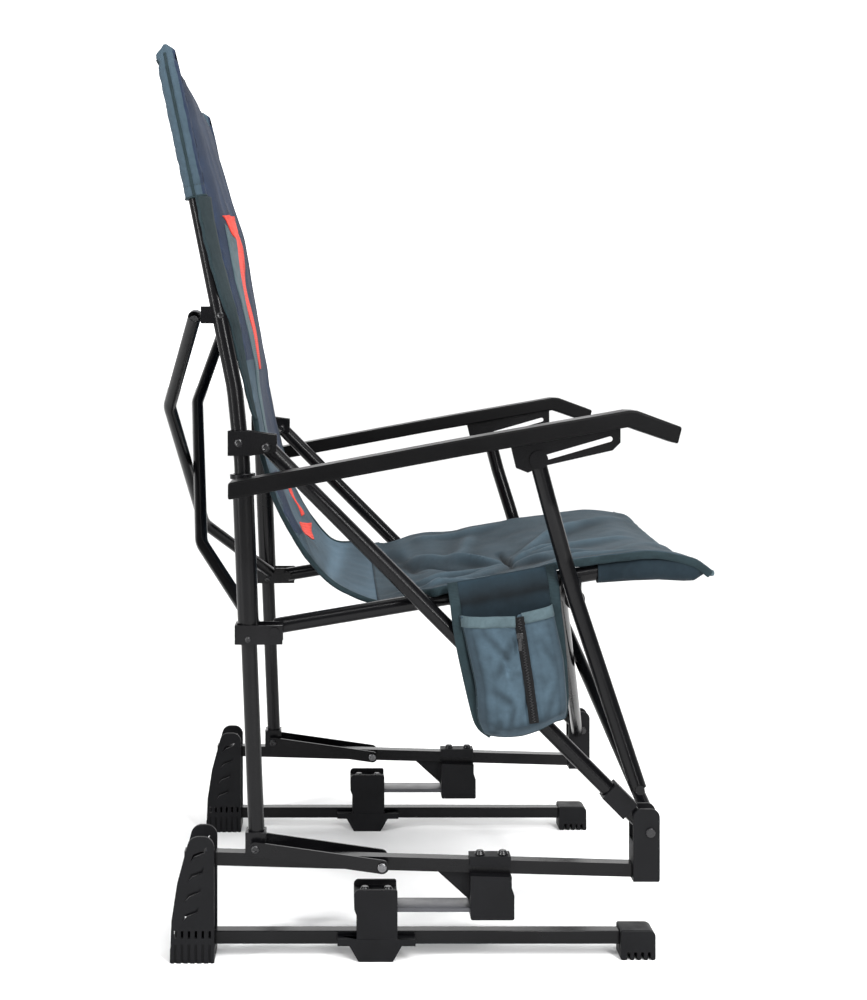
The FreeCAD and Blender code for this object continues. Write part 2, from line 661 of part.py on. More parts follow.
def strut_hub(name, side):
    """The moulded hub under the seat rail that the arm strut and a front crossing tube turn on."""
    outer = side * (size("strutOffset") - size("tubeRadius") - size("gap"))
    inner = side * size("hubInner")
    barrel = cylinder("hubRadius", abs(outer - inner), point("hub", inner), Vector(0, side, 0))
    half = size("tubeRadius") + size("sheet")
    saddle = box("2 * hubRadius", "2 * tubeRadius + 2 * sheet",
                 seat_rail_height(size("hubX")) - size("hubZ"),
                 Vector(size("hubX") - size("hubRadius"), side * size("seatRailOffset") - half,
                        size("hubZ")))
    pin_start = size("seatRailOffset") + size("tubeRadius") - size("gap")
    pin_end = size("railOffset") - size("tubeRadius") - size("gap")
    pin = cylinder("hubRadius / 2", pin_end - pin_start, cross_point(side * pin_start),
                   Vector(0, side, 0))
    hub = cut(fuse(barrel, saddle), seat_tube_room(side))
    keep(group(hub, cut(pin, seat_tube_room(side))), name + "_strut_hub")


def seat_tube_room(side):
    """The room of the straight part of the seat rail."""
    start = point("seatPivot", side * size("seatRailOffset"))
    end = point("seatRailTurn", start.y)
    return cylinder("tubeRadius", (end - start).Length, start, end - start)


def cross_point(across):
    """Where the seat rail crosses the brace in the side view."""
    brace_foot = point("frontPivot", 0)
    brace_run = point("topPivot", 0) - brace_foot
    rail_start = point("seatPivot", 0)
    rail_run = point("seatRailTurn", 0) - rail_start
    apart = rail_start - brace_foot
    share = (apart.x * rail_run.z - apart.z * rail_run.x) / (
        brace_run.x * rail_run.z - brace_run.z * rail_run.x)
    place = brace_foot + brace_run * share
    return Vector(place.x, across, place.z)


def arm_strut(name, side):
    """The tube from the slider past the hub to the slot under the arm, bent out at its top."""
    across = side * size("strutOffset")
    top = side * size("strutTopOffset")
    foot = point("slider", across)
    hub = point("hub", across)
    pin = slot_pin(top)
    bends = []
    for share, height_share, offset in STRUT_BEND_SHARES:
        spread = across + (top - across) * offset
        bends.append(Vector(hub.x + (pin.x - hub.x) * share, spread, hub.z + (pin.z - hub.z) * height_share))
    tube = bent_tube(None, [foot, hub] + bends + [pin], size("tubeRadius"), size("strutBend"))
    plate_inner = size("slotPlateOffset") - size("sheet") / 2
    reach = plate_inner + size("sheet") + size("gap") - size("strutTopOffset")
    shaft = cylinder("rivetRadius - gap", reach, pin, Vector(0, side, 0))
    head_place = Vector(pin.x, pin.y + side * reach, pin.z)
    head = cylinder("tubeRadius + sheet / 2", "rivetHeadHeight", head_place, Vector(0, side, 0))
    inside = size("tubeRadius") - size("tubeWall")
    foot_pin = cylinder("rivetHead", "rivetHeadHeight", foot + Vector(0, side * inside, 0),
                        Vector(0, side, 0))
    keep(fuse(tube, shaft, head, foot_pin), name + "_arm_strut")


def armrest(name, side):
    thick = size("armThick")
    outline = [
        (size("armBack"), size("armBackZ") - thick / 2), (size("armMidX"), size("armMidZ") - thick / 2),
        (size("armFrontX"), size("armFrontZ") - thick / 2),
        (size("armTipX") - thick / 4, size("armTipZ") - thick / 2),
        (size("armTipX"), size("armTipZ") + thick / 2),
        (size("armFrontX") + thick / 2, size("armFrontZ") + thick / 2 - size("gap")),
        (size("armFrontX"), size("armFrontZ") + thick / 2),
        (size("armMidX"), size("armMidZ") + thick / 2), (size("armBack"), size("armBackZ") + thick / 2),
    ]
    body = plate(outline, side * size("armOffset"), "2 * armHalf")
    keep(body, name + "_armrest")


def arm_under(x_place):
    """The height of the arm's underside."""
    low, high = ("armBack", "armMid") if x_place < size("armMidX") else ("armMid", "armFront")
    x_low = size(low) if low == "armBack" else size(low + "X")
    share = (x_place - x_low) / (size(high + "X") - x_low)
    middle = size(low + "Z") + share * (size(high + "Z") - size(low + "Z"))
    return middle - size("armThick") / 2 - size("gap") / 2


def slot_pin(across):
    """The strut's pin at the back of the slot under the arm."""
    return Vector(size("slotPinX"), across, arm_under(size("slotPinX")) - size("slotPinDrop"))


def slot_plate(name, side):
    """The plate under the arm with the slot that the strut's pin runs in."""
    back = size("slotBack")
    front = size("slotFront")
    deep = size("slotDeep")
    outline = []
    for along_share, down_share in BACK_EDGE_SHARES:
        outline.append((back + deep * along_share, arm_under(back) - deep * down_share))
    for along_share, down_share in FRONT_EDGE_SHARES:
        outline.append((front - deep * along_share, arm_under(front) - deep * down_share))
    across = side * size("slotPlateOffset")
    body = plate(outline, across, "sheet")
    start = slot_pin(across)
    end = Vector(front - deep / 3, across, arm_under(front) - size("slotDrop"))
    slot = tilted_box((end - start).Length, "4 * sheet", "slotWidth", start, end - start,
                      Vector(0, -2 * size("sheet"), -size("slotWidth") / 2))
    ends = []
    for spot in (start, end):
        ends.append(cylinder("slotWidth / 2", "4 * sheet", spot - Vector(0, 2 * size("sheet"), 0),
                             Vector(0, 1, 0)))
    keep(cut(body, slot, *ends), name + "_slot_plate")


def foot_bracket(name, across):
    """The socket at the foot of the post, between the two links."""
    radius = size("tubeRadius")
    half = radius + size("sheet")
    low = size("footZ") - size("socketDrop")
    shell = box("2 * tubeRadius + 2 * sheet", "2 * tubeRadius + 2 * sheet", "socketHeight",
                Vector(size("footX") - half, across - half, low))
    foot = point("postFoot", across)
    room = cylinder("tubeRadius", "8 * tubeRadius", foot, point("postKnee", across) - foot)
    reach = size("clampHalf") - size("sheet") / 2 - size("gap")
    pin = cylinder("rivetRadius", 2 * reach, point("foot", across - reach), Vector(0, 1, 0))
    keep(cut(fuse(shell, pin), room, upper_rail_hole(across)), name + "_foot_bracket")


def cross_bracket(name, across):
    """The block behind the post that the top of a rear crossing tube bears on."""
    centre = point("upBracket", across)
    back = size("rearTopX") + size("slimRadius") + size("gap")
    corner = Vector(back, across - size("upBracketDepth") / 2, centre.z - size("upBracketHeight") / 2)
    block = box(centre.x - back, "upBracketDepth", "upBracketHeight", corner)
    start = point("postBend", across)
    rise = point("postTop", across) - start
    keep(cut(block, cylinder("tubeRadius", rise.Length, start, rise)), name + "_cross_bracket")


def rear_cross(name, side, shift):
    """The bowed tube from one side's sleeve bracket up to the other side's post."""
    back = Vector(-shift, 0, 0)
    foot = point("rearFoot", side * size("rearFootOffset"))
    top = point("rearTop", -side * size("rearTopOffset"))
    spread = size("rearFootOffset") + size("rearTopOffset")

    def between(alias):
        share = (size(alias + "Z") - size("rearFootZ")) / (size("rearTopZ") - size("rearFootZ"))
        across = side * (size("rearFootOffset") - share * spread)
        return point(alias, across) + back

    points = [foot, between("rearBelly"), between("rearBow"), top]
    bent_tube(name + "_rear_cross", points, size("slimRadius"), size("rearBend"))


def front_cross(name, side):
    """The straight tube from one side's knuckle up to the other side's hub."""
    shift = Vector(side * -size("frontCrossShift"), 0, 0)
    foot = point("frontPivot", side * size("frontCrossOffset")) + shift
    top = point("hub", -side * size("frontCrossTopOffset")) + shift
    straight_tube(name + "_front_cross", foot, top, "slimRadius")


def seat_gap_half():
    """Half the width of the cloth where it passes between the seat rails."""
    return size("seatRailOffset") - size("tubeRadius") - size("seatGap")


def sling(label, spots, half, sag_shares, notches):
    """A sheet of cloth that follows a line in the side view and sags between its edges."""
    edge = seat_gap_half() / half
    width_shares = (-1.0, -edge, -0.55, 0.0, 0.55, edge, 1.0)
    deep_shares = (0.0, 0.0, 0.75, 1.0, 0.75, 0.0, 0.0)
    normals = []
    for number in range(len(spots)):
        before = spots[max(number - 1, 0)]
        after = spots[min(number + 1, len(spots) - 1)]
        along = (after - before).normalize()
        normals.append(Vector(along.z, 0, -along.x))
    rings = []
    for width, deep in zip(width_shares, deep_shares):
        front = []
        offset = Vector(0, width * half, 0)
        for spot, normal, share in zip(spots, normals, sag_shares):
            front.append(spot + normal * (deep * share * size("sag")) + offset)
        rear = [spot + normal * size("clothThick") for spot, normal in zip(front, normals)]
        rings.append(Part.makePolygon(front + rear[::-1] + front[:1]))
    cloth = doc.addObject("Part::Feature", "Cloth")
    shape = Part.makeLoft(rings, True, True)
    room = size("backTopZ")
    for way in (-1, 1):
        for inner, corner in notches:
            shift = inner if way > 0 else -inner - room
            start = corner + Vector(0, shift, 0)
            shape = shape.cut(Part.makeBox(room, room, room, start))
    cloth.Shape = shape
    keep(cloth, label)


def backrest_sling():
    spots = [point(x_name[:-1], 0) for x_name, _, z_name, _ in BACK_PROFILE]
    room = size("backTopZ")
    notches = (
        (size("backHipHalf"), Vector(-room / 2, 0, size("backFourZ") - room)),
        (seat_gap_half(), Vector(-room / 2, 0, size("backSixZ") - room)),
    )
    sling("backrest_sling", spots, size("backHalf"), BACK_SAG_SHARES, notches)


def seat_sling():
    """The seat lies on the two seat rails and drops over their front ends."""
    rise = Vector(0, 0, size("tubeRadius") + 2 * size("gap") + size("clothThick"))
    start = point("seatPivot", 0)
    run = point("seatRailTurn", 0) - start
    spots = [point("backEight", 0) + Vector(size("gap"), 0, size("gap"))]
    for share in SEAT_SHARES:
        spots.append(start + run * share + rise)
    spots.append(point("seatRailCrown", 0) + rise)
    spots.append(point("seatRailTip", 0) + rise)
    spots.append(point("seatRailTip", 0) + Vector(size("seatLip"), 0, size("tubeRadius")))
    room = size("backTopZ")
    notches = ((seat_gap_half(), Vector(spots[1].x + size("clothThick") - room, 0, 0)),)
    sling("seat_sling", spots, size("seatHalf"), SEAT_SAG_SHARES, notches)


def side_bag():
    """The pocket beside the seat, with the flap that it hangs by from the seat's near edge."""
    across = -size("bagInner") - size("bagDepth") / 2
    lower = size("bagUnder")
    step = (size("bagFront") - size("bagBack")) / 3
    outline = [
        (size("bagBack"), size("bagTop")), (size("bagBack") + step / 4, lower + step),
        (size("bagBack") + step, lower), (size("bagFront") - step / 4, lower + step / 3),
        (size("bagFront"), lower + step), (size("bagFront"), size("bagTop") + step / 2),
    ]
    flap = size("bagFlap")
    top_edge = [
        (size("bagBack"), size("bagTop") - flap), (size("bagFront"), size("bagTop") + step / 2 - flap),
        (size("bagFront"), size("bagTop") + step / 2), (size("bagBack"), size("bagTop")),
    ]
    flap_middle = -(size("bagInner") + size("seatHalf") + size("gap")) / 2
    hanger = plate(top_edge, flap_middle, "bagInner - seatHalf - gap")
    keep(fuse(plate(outline, across, "bagDepth"), hanger), "side_bag")


def zip_pull():
    across = -size("bagInner") - size("bagDepth") - size("gap")
    corner = Vector(size("zipX"), across - size("zipThick"), size("zipZ"))
    keep(box("zipWidth", "zipThick", "zipLength", corner), "zip_pull")


def side_frame(name, side):
    across = side * size("railOffset")
    ground_rail(name, across)
    end_cap(name, across)
    rear_boot(name, across)
    low_clamp(name, across)
    low_bolts(name, across)
    leaf_spring(name, across)
    upper_rail(name, across)
    upper_clamp(name, across)
    upper_bolts(name, across)
    knuckle(name, across)
    pivot_bolts(name, across)
    rear_links(name, across)
    brace(name, across)
    slider(name, across)
    post(name, across)
    brace_bracket(name, across)
    foot_bracket(name, across)
    cross_bracket(name, across)
    sleeve(name, across)
    sleeve_bracket(name, across, side)
    seat_rail(name, side)
    strut_hub(name, side)
    arm_strut(name, side)
    armrest(name, side)
    slot_plate(name, side)
    rear_cross(name, side, size("rearShift") if side > 0 else 0)
    front_cross(name, side)


def check_and_write():
    doc.recompute()
    for item in doc.Objects:
        if {"Invalid", "Error"} & set(item.State):
            raise RuntimeError("%s: %s" % (item.Label, item.State))
    os.makedirs("parts", exist_ok=True)
    for item in NODES:
        shape = item.Shape
        if shape.isNull() or not shape.isValid() or shape.Volume <= 0:
            raise RuntimeError("%s has a bad shape" % item.Label)
        shape.exportStep("parts/%s.step" % item.Label)
        print("%-22s %2d solids %9.0f mm3" % (item.Label, len(shape.Solids), shape.Volume))


for side_name, side_sign in SIDES:
    side_frame(side_name, side_sign)
backrest_sling()
seat_sling()
side_bag()
zip_pull()
check_and_write()
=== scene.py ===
import json
import math

import bmesh
import bpy
from bpy.props import FloatProperty, FloatVectorProperty, PointerProperty
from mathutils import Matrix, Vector, noise
from mathutils.bvhtree import BVHTree


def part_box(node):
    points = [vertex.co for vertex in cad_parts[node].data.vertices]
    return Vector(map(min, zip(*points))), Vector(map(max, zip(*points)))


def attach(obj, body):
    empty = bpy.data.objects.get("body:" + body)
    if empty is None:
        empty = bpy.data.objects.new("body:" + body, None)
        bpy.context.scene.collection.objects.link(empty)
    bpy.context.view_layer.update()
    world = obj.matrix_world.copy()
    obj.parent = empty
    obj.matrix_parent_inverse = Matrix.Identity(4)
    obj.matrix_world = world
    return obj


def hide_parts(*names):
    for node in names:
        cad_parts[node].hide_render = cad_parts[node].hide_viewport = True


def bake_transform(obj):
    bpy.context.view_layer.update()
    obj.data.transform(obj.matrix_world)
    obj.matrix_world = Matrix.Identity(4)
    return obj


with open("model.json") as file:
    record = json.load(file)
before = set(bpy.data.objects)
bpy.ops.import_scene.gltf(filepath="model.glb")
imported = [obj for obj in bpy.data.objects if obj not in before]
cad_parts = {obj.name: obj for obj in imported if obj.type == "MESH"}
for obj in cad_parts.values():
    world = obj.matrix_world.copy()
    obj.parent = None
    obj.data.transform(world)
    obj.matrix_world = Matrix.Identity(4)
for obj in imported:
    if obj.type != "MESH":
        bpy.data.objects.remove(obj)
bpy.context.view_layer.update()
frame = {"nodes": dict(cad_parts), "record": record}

bl_info = {
    "name": "Sprung camping chair",
    "version": (1, 0, 0),
    "blender": (4, 5, 0),
    "location": "View3D > Sidebar > Chair",
    "description": "Cloth, mouldings and finishes of a camping rocking chair around its frame",
    "category": "Object",
}

BODY_OF = {node: body for body, nodes in frame["record"]["behaviour"]["bodies"].items() for node in nodes}
# the two sides of the chair, and the way that each faces
SIDES = (("near", -1), ("far", 1))
MM = 0.001


def in_metres(*rows):
    """A table that is written in millimetres."""
    return tuple(tuple(value * MM for value in row) for row in rows)


# lines of the cloth in the side view, in millimetres, from the top of the back to the front of the seat
BACK_LINE = in_metres(
    (-314, 1063), (-295, 1030), (-282, 985), (-269, 935), (-257, 885), (-246, 838), (-232, 775), (-216, 701),
    (-204, 640), (-192, 585), (-172, 520), (-148, 474), (-122, 438), (-98, 421), (-63, 409), (-46, 411.5),
)
SEAT_LINE = in_metres(
    (-63, 409), (-40, 413), (-12, 425), (15, 433.5), (47, 436), (87, 444.5), (126, 454), (150, 461),
    (174, 465.5), (199, 468), (228, 470.5), (258, 472.5), (285, 471.2), (311, 466), (323, 459),
    (333.5, 450.5),
)
# how far the edges of the back lie behind its line: height, depth
BACK_EDGE_SET = in_metres(
    (1070, 12), (1030, 14), (980, 17), (880, 17.5), (820, 15), (785, 12), (755, 9), (680, 10), (600, 8),
    (540, 9), (470, 6), (420, 0),
)
# how far the far half of the seat stands over the near half: place, rise
SEAT_FAR_RISE = in_metres(
    (-63, 20), (-10, 14), (65, 7), (139, 4), (190, 2), (300, 6), (320, 10), (335, 12),
)
# ridges on the cloth: start and end (along the line from its start, across), rise, width
SEAT_FOLDS = in_metres(
    (178, -20, 40, 120, 6, 12), (182, -20, 300, 120, 6, 13), (180, -36, 340, -40, 5, 12),
    (172, -50, 20, -110, 6, 12), (170, -70, 70, -200, 6, 9), (180, -70, 290, -180, 6, 10),
    (110, 20, 150, 200, 4, 12), (230, 50, 370, 170, 4, 14), (175, 60, 177, -90, -7, 5),
    (170, -30, 110, 60, 5, 6), (182, -45, 250, 10, 5, 6), (168, -60, 100, -130, 5, 6),
    (182, -75, 235, -150, 4, 6), (60, 0, 30, 180, -6, 12), (120, -20, 60, 60, -6, 10),
    (300, -170, 400, -60, 3, 14), (50, -190, 140, -215, 5, 8), (200, -200, 330, -222, 4, 9),
    (60, 200, 200, 222, 3, 10), (110, -160, 150, -215, 4, 6),
)
BACK_FOLDS = in_metres(
    (60, -150, 300, -110, 6, 16), (50, 120, 330, 170, 6, 18), (120, 20, 360, 60, 4, 20),
    (20, -60, 160, 40, 4, 16), (300, -190, 520, -120, 4, 14), (350, 190, 560, 120, 5, 16),
    (480, -130, 640, -200, 5, 13), (500, 150, 660, 205, 5, 14), (560, -20, 620, 190, 6, 15),
    (600, -190, 640, 10, 6, 13), (665, -190, 680, 190, -9, 10), (720, -150, 745, 160, 6, 14),
)

# shapes sewn on the back, from the top down: height and place of the left edge, then of the right edge
CORAL_BAND = in_metres(
    (876, -182, 893, 20), (868, -165, 884, 8), (855, -143, 866, -6), (842, -90, 850, 16),
    (818, -75, 824, 22), (792, -85, 797, 4), (767, -80, 772, 18), (741, -55, 741, 14), (704, -45, 705, 4),
    (689, -20, 689, 6),
)
PALE_BAND = in_metres(
    (866, -184, 858, -160), (850, -184, 850, -128), (835, -184, 835, -85), (800, -188, 800, -90),
    (760, -184, 760, -85), (720, -178, 720, -60), (660, -170, 660, -50), (600, -150, 600, -60),
)
CORAL_LINE = in_metres((545, 70, 545, 105), (520, 62, 520, 98), (489, 52, 487, 90))
CORAL_TAB = in_metres((489, -20, 471, 130), (480, -110, 460, 35))
# edges of the flap beside the post, from the top down: height, place along or across
FLAP_REAR = in_metres(
    (892.5, -277.1), (866, -272.8), (822, -262.6), (778, -249.9), (752, -241.1), (734.6, -236.8),
    (690, -226.5), (645.5, -215.9), (630, -210.5),
)
FLAP_AHEAD = in_metres(
    (892.5, -261.8), (866, -258), (822, -249), (778, -237), (752, -230), (734.6, -226.5), (690, -219),
    (645.5, -211), (630, -208),
)
FLAP_OUTWARD = in_metres(
    (892.5, 262.5), (780, 262), (760, 256), (735, 246), (690, 243), (655, 237), (630, 230),
)
FLAP_INWARD = in_metres((892.5, 16), (780, 16), (735, 6), (630, 3))
# how far a post's pocket reaches from the post's axis: share of its height, millimetres
POCKET_BACK = (
    (0, 12.6), (0.8, 12.8), (0.872, 11.4), (0.895, 9), (0.925, 12.8), (0.95, 11.5), (0.978, 4.5), (1, 1),
)
POCKET_FRONT = ((0, 12.6), (0.8, 12.4), (0.872, 11.6), (0.9, 9.5), (0.95, 12), (1, 3),)
POCKET_ACROSS = ((0, 13.2), (0.8, 12.8), (0.875, 11.4), (0.91, 7), (0.94, 5), (1, 1.6),)
# heights of the sleeves on the seat rails' ends: place along, height
SLEEVE_LOW = in_metres((196, 434.5), (240, 437.5), (270, 438.5), (300, 437), (312, 437.5), (326.5, 447))
SLEEVE_HIGH = in_metres((196, 458.5), (240, 465.5), (280, 467), (300, 464), (315, 459), (326.5, 452))
# outlines of the bag's panels in the side view, from the top down
BAG_BACK_LEFT = in_metres((17, 437), (20.9, 399), (26.5, 363.3), (42.1, 296.2), (50, 275), (64, 265))
BAG_BACK_RIGHT = in_metres(
    (144.5, 460), (147.8, 414.7), (152, 381.3), (155.2, 336.5), (156, 305), (153, 286),
)
BAG_FRONT_LEFT = in_metres((30, 402.5), (35.9, 380), (43, 348), (49, 319), (51.2, 285), (58, 266))
BAG_FRONT_RIGHT = in_metres(
    (137.2, 415.5), (146.1, 374.3), (150, 355), (152, 335), (154.5, 300), (152.8, 284),
)
BAG_ZIP = in_metres((96.8, 404), (113.2, 283.8))
# how far the pocket's front stands out: place across it, share
BAG_ACROSS = (
    (0, 0), (0.03, 0.42), (0.08, 0.72), (0.2, 0.92), (0.45, 1), (0.72, 0.95), (0.9, 0.72), (0.97, 0.45),
    (1, 0),
)
BAG_DOWN = ((0, 0.55), (0.2, 0.68), (0.6, 0.95), (0.8, 1), (0.92, 0.85), (1, 0.25),)
# creases of the pocket: start and end (shares across and down), rise in metres, width as a share
BAG_FOLDS = (
    (0.2, 0.12, 0.42, 0.4, 0.0034, 0.04), (0.5, 0.2, 0.2, 0.55, 0.0034, 0.045),
    (0.3, 0.55, 0.55, 0.5, 0.003, 0.035), (0.14, 0.6, 0.4, 0.75, 0.0032, 0.04),
    (0.45, 0.72, 0.3, 0.95, 0.0034, 0.035), (0.1, 0.97, 0.26, 0.86, 0.0034, 0.03),
    (0.78, 0.25, 0.92, 0.55, 0.003, 0.045), (0.9, 0.6, 0.74, 0.9, 0.003, 0.045),
    (0.34, 0.3, 0.36, 0.6, -0.003, 0.03), (0.56, 0.62, 0.5, 0.9, -0.003, 0.03),
)
# rivets: place along and up, radius and height in millimetres, group, the node that they sit on
RIVETS = (
    (-228, 603.3, 5, 1.8, "dark", "brace_bracket"), (-196, 598, 5.2, 2.2, "dark", "brace_bracket"),
    (-217, 374, 3.6, 1.4, "dark", "sleeve_bracket"), (-208.2, 131.5, 5.0, 2.4, "dark", "rear_links"),
    (-60.5, 110.5, 5.2, 1.2, "bright", "pivot_bolts"), (253, 148.6, 6.2, 2.6, "dark", "knuckle"),
    (-249.5, 753, 4.2, 1.6, "dark", "post"), (-281, 752, 8.4, 1.6, "plug", "rear_cross"),
)


def colour(name, description, default):
    return FloatVectorProperty(name=name, description=description, default=default, subtype="COLOR", size=3,
                               min=0, max=1)


def length(name, description, default):
    return FloatProperty(name=name, description=description, default=default, unit="LENGTH", min=0,
                         precision=4)


def amount(name, description, default):
    return FloatProperty(name=name, description=description, default=default, min=0)


class ChairColours(bpy.types.PropertyGroup):
    slate: colour("Slate cloth", "Lower back, pockets and the bag", (0.036, 0.058, 0.076))
    slate_deep: colour("Deep slate", "Bindings and seams", (0.011, 0.021, 0.025))
    # the bag's back panel has this darker slate as its own colour; on the front sleeves it is painted shade
    # under the seat
    slate_panel_and_sleeve_shade: colour("Panel slate", "Bag's back panel and front sleeves", (0.0075, 0.015, 0.021))
    slate_pale: colour("Pale slate", "Bag's top band and the back's pale shape", (0.055, 0.082, 0.093))
    # painted shade: the seat is the same slate cloth as the back, given a darker copy of its colour
    slate_seat: colour("Seat slate", "Seat of the sling", (0.025, 0.040, 0.051))
    border: colour("Border slate", "Flap of the back beside the post", (0.0151, 0.0230, 0.0259))
    navy: colour("Navy cloth", "Middle panel of the back", (0.013, 0.022, 0.044))
    coral: colour("Coral band", "Shapes sewn on the back", (0.560, 0.045, 0.030))
    paint: colour("Frame paint", "Powder coat of the tubes and rails", (0.0022, 0.0022, 0.0026))
    moulding: colour("Moulded plastic", "Boots, clamps, caps and knuckles", (0.0032, 0.0033, 0.0040))
    arm: colour("Arm", "Coat of the armrests", (0.0016, 0.0016, 0.0018))
    spring: colour("Spring", "Coat of the leaf springs", (0.0382, 0.0391, 0.0442))
    steel: colour("Black steel", "Bolts, rivets and the zip", (0.010, 0.010, 0.011))
    bright: colour("Bright metal", "Pins that are bare", (0.12, 0.12, 0.125))
    plug: colour("Tube plug", "Plastic plugs in the crossing tubes' ends", (0.14, 0.14, 0.145))
    tape: colour("Zip tape", "Tape of the bag's zip", (0.0030, 0.0030, 0.0035))


class ChairSizes(bpy.types.PropertyGroup):
    cloth: length("Cloth", "Thickness of the sling", 2.4 * MM)
    back_half: length("Back half width", "From the middle plane to the edge of the back", 238.5 * MM)
    hip_half: length("Hip half width", "Half width of the back beside the arms' brackets", 226.0 * MM)
    waist_half: length("Waist half width", "Half width of the back between the seat rails", 210.0 * MM)
    seat_half: length("Seat half width", "From the middle plane to the edge of the seat", 235.5 * MM)
    border: length("Border", "Width of the slate border beside the navy panel", 26.0 * MM)
    binding: length("Binding", "Radius of the bound edge", 2.6 * MM)
    thread: length("Thread pitch", "Distance between the threads of the weave", 1.1 * MM)
    edge_round: length("Edge round", "Radius of the frame's edges", 0.9 * MM)
    mould_round: length("Moulding round", "Radius of the mouldings' edges", 1.8 * MM)
    bolt_round: length("Bolt round", "Radius of the bolts' edges", 0.6 * MM)
    arm_round: length("Arm round", "Radius of the armrests' edges", 2.4 * MM)


class PhotoCamera(bpy.types.PropertyGroup):
    place: FloatVectorProperty(name="Place", description="Where the camera stands", subtype="TRANSLATION",
                               unit="LENGTH", size=3, default=(-0.11294, -2.064, 0.698))
    lens: amount("Lens", "Focal length in millimetres", 55.51)
    shift_x: FloatProperty(name="Shift across", description="Sideways shift of the lens", default=0.0965)
    shift_y: FloatProperty(name="Shift up", description="Upward shift of the lens", default=-0.138)
    sun: amount("Soft sun", "Strength of the wide light from above", 2.6)
    key: amount("Key light", "Power of the tall light at the front", 90.0)
    strip: amount("Strip light", "Power of the tall light at the back", 60.0)
    bar: amount("Bar light", "Power of the long light over the front", 40.0)
    top: amount("Top light", "Power of the light over the chair", 16.0)
    room: amount("Room", "Strength of the dim surround", 0.16)
    sky: amount("Wall", "Strength of the white wall behind", 1.9)


def colours():
    return bpy.context.scene.chair_colours


def sizes():
    return bpy.context.scene.chair_sizes


class Finish:
    """One material, with short ways to add nodes to its tree."""

    def __init__(self, name, base, roughness, **sockets):
        self.material = bpy.data.materials.new(name)
        self.material.use_nodes = True
        self.tree = self.material.node_tree
        self.shader = self.tree.nodes["Principled BSDF"]
        self.base = tuple(base) + (1.0,)
        self.shader.inputs["Base Color"].default_value = self.base
        self.shader.inputs["Roughness"].default_value = roughness
        for socket, value in sockets.items():
            self.shader.inputs[socket.replace("_", " ")].default_value = value
        self.coords = self.add("ShaderNodeTexCoord")

    def add(self, kind, inputs=None, **settings):
        node = self.tree.nodes.new(kind)
        for name, value in settings.items():
            setattr(node, name, value)
        for name, value in (inputs or {}).items():
            if isinstance(value, bpy.types.NodeSocket):
                self.tree.links.new(value, node.inputs[name])
            else:
                node.inputs[name].default_value = value
        return node

    def maths(self, operation, first, second=0.0):
        return self.add("ShaderNodeMath", {0: first, 1: second, 2: 0.0}, operation=operation).outputs[0]

    def times(self, first, second):
        return self.maths("MULTIPLY", first, second)

    def noise(self, scale, detail, space="Object", roughness=0.55):
        values = {"Vector": self.coords.outputs[space], "Scale": scale, "Detail": detail,
                  "Roughness": roughness}
        return self.add("ShaderNodeTexNoise", values).outputs["Fac"]

    def remap(self, value, low, high, to_low, to_high):
        values = {"Value": value, "From Min": low, "From Max": high, "To Min": to_low, "To Max": to_high}
        return self.add("ShaderNodeMapRange", values).outputs["Result"]

    def mix(self, share, first, second, blend="MIX"):
        """A colour mix; of the sockets of one name, the enabled one is for colours."""
        node = self.add("ShaderNodeMix", data_type="RGBA", blend_type=blend)
        for name, value in (("Factor", share), ("A", first), ("B", second)):
            socket = next(s for s in node.inputs if s.name == name and s.enabled)
            if isinstance(value, bpy.types.NodeSocket):
                self.tree.links.new(value, socket)
            else:
                socket.default_value = value
        return next(o for o in node.outputs if o.type == "RGBA" and o.enabled)

    def shaded(self, colour_out, shade):
        """A colour times a grey level."""
        grey = self.add("ShaderNodeCombineColor", {0: shade, 1: shade, 2: shade}).outputs[0]
        return self.mix(1.0, colour_out, grey, "MULTIPLY")

    def paint_with(self, result):
        self.tree.links.new(result, self.shader.inputs["Base Color"])

    def rough_with(self, result):
        self.tree.links.new(result, self.shader.inputs["Roughness"])

    def bump_with(self, height, distance, strength):
        values = {"Height": height, "Distance": distance, "Strength": strength}
        bump = self.add("ShaderNodeBump", values).outputs["Normal"]
        self.tree.links.new(bump, self.shader.inputs["Normal"])


def tinted(finish, factor, low, high):
    """The finish's own colour made darker and lighter by a pattern."""
    return finish.shaded(finish.base, finish.remap(factor, 0.3, 0.7, low, high))


def known(name):
    return bpy.data.materials.get(name)


# hard coats: colour, roughness, specular level, metallic, tint (scale, detail, low, high), roughness that
# wanders (scale, detail, noise roughness, from, to, low, high), grain (scale, millimetres, strength)
COATS = {
    "powder_coat": ("paint", 0.22, 0.15, 0.0, (14, 3, 0.8, 1.5), (9, 6, 0.7, 0.35, 0.75, 0.17, 0.32),
                    (1400, 0.06, 0.5)),
    "moulded_plastic": ("moulding", 0.42, 0.12, 0.0, (30, 4, 0.85, 1.3), (60, 4, 0.55, 0.3, 0.7, 0.42, 0.58),
                        (2600, 0.08, 0.6)),
    "arm_coat": ("arm", 0.34, 0.07, 0.0, (10, 3, 0.85, 1.4), (22, 5, 0.55, 0.3, 0.7, 0.36, 0.5),
                 (1900, 0.05, 0.6)),
    "spring_coat": ("spring", 0.38, 0.4, 0.0, (18, 5, 0.75, 1.3), (40, 5, 0.55, 0.3, 0.7, 0.32, 0.48), None),
    "black_steel": ("steel", 0.22, 0.4, 0.2, None, (200, 4, 0.55, 0.3, 0.7, 0.16, 0.34), None),
    "bright_steel": ("bright", 0.35, 0.5, 0.8, None, (300, 4, 0.55, 0.3, 0.7, 0.22, 0.4), None),
    "grey_plug": ("plug", 0.45, 0.3, 0.0, (60, 4, 0.85, 1.2), None, None),
}
COAT_OF_SLOT = {"frame": "powder_coat", "plastic": "moulded_plastic", "fastener": "black_steel",
                "spring": "spring_coat", "arm": "arm_coat", "zip": "black_steel"}


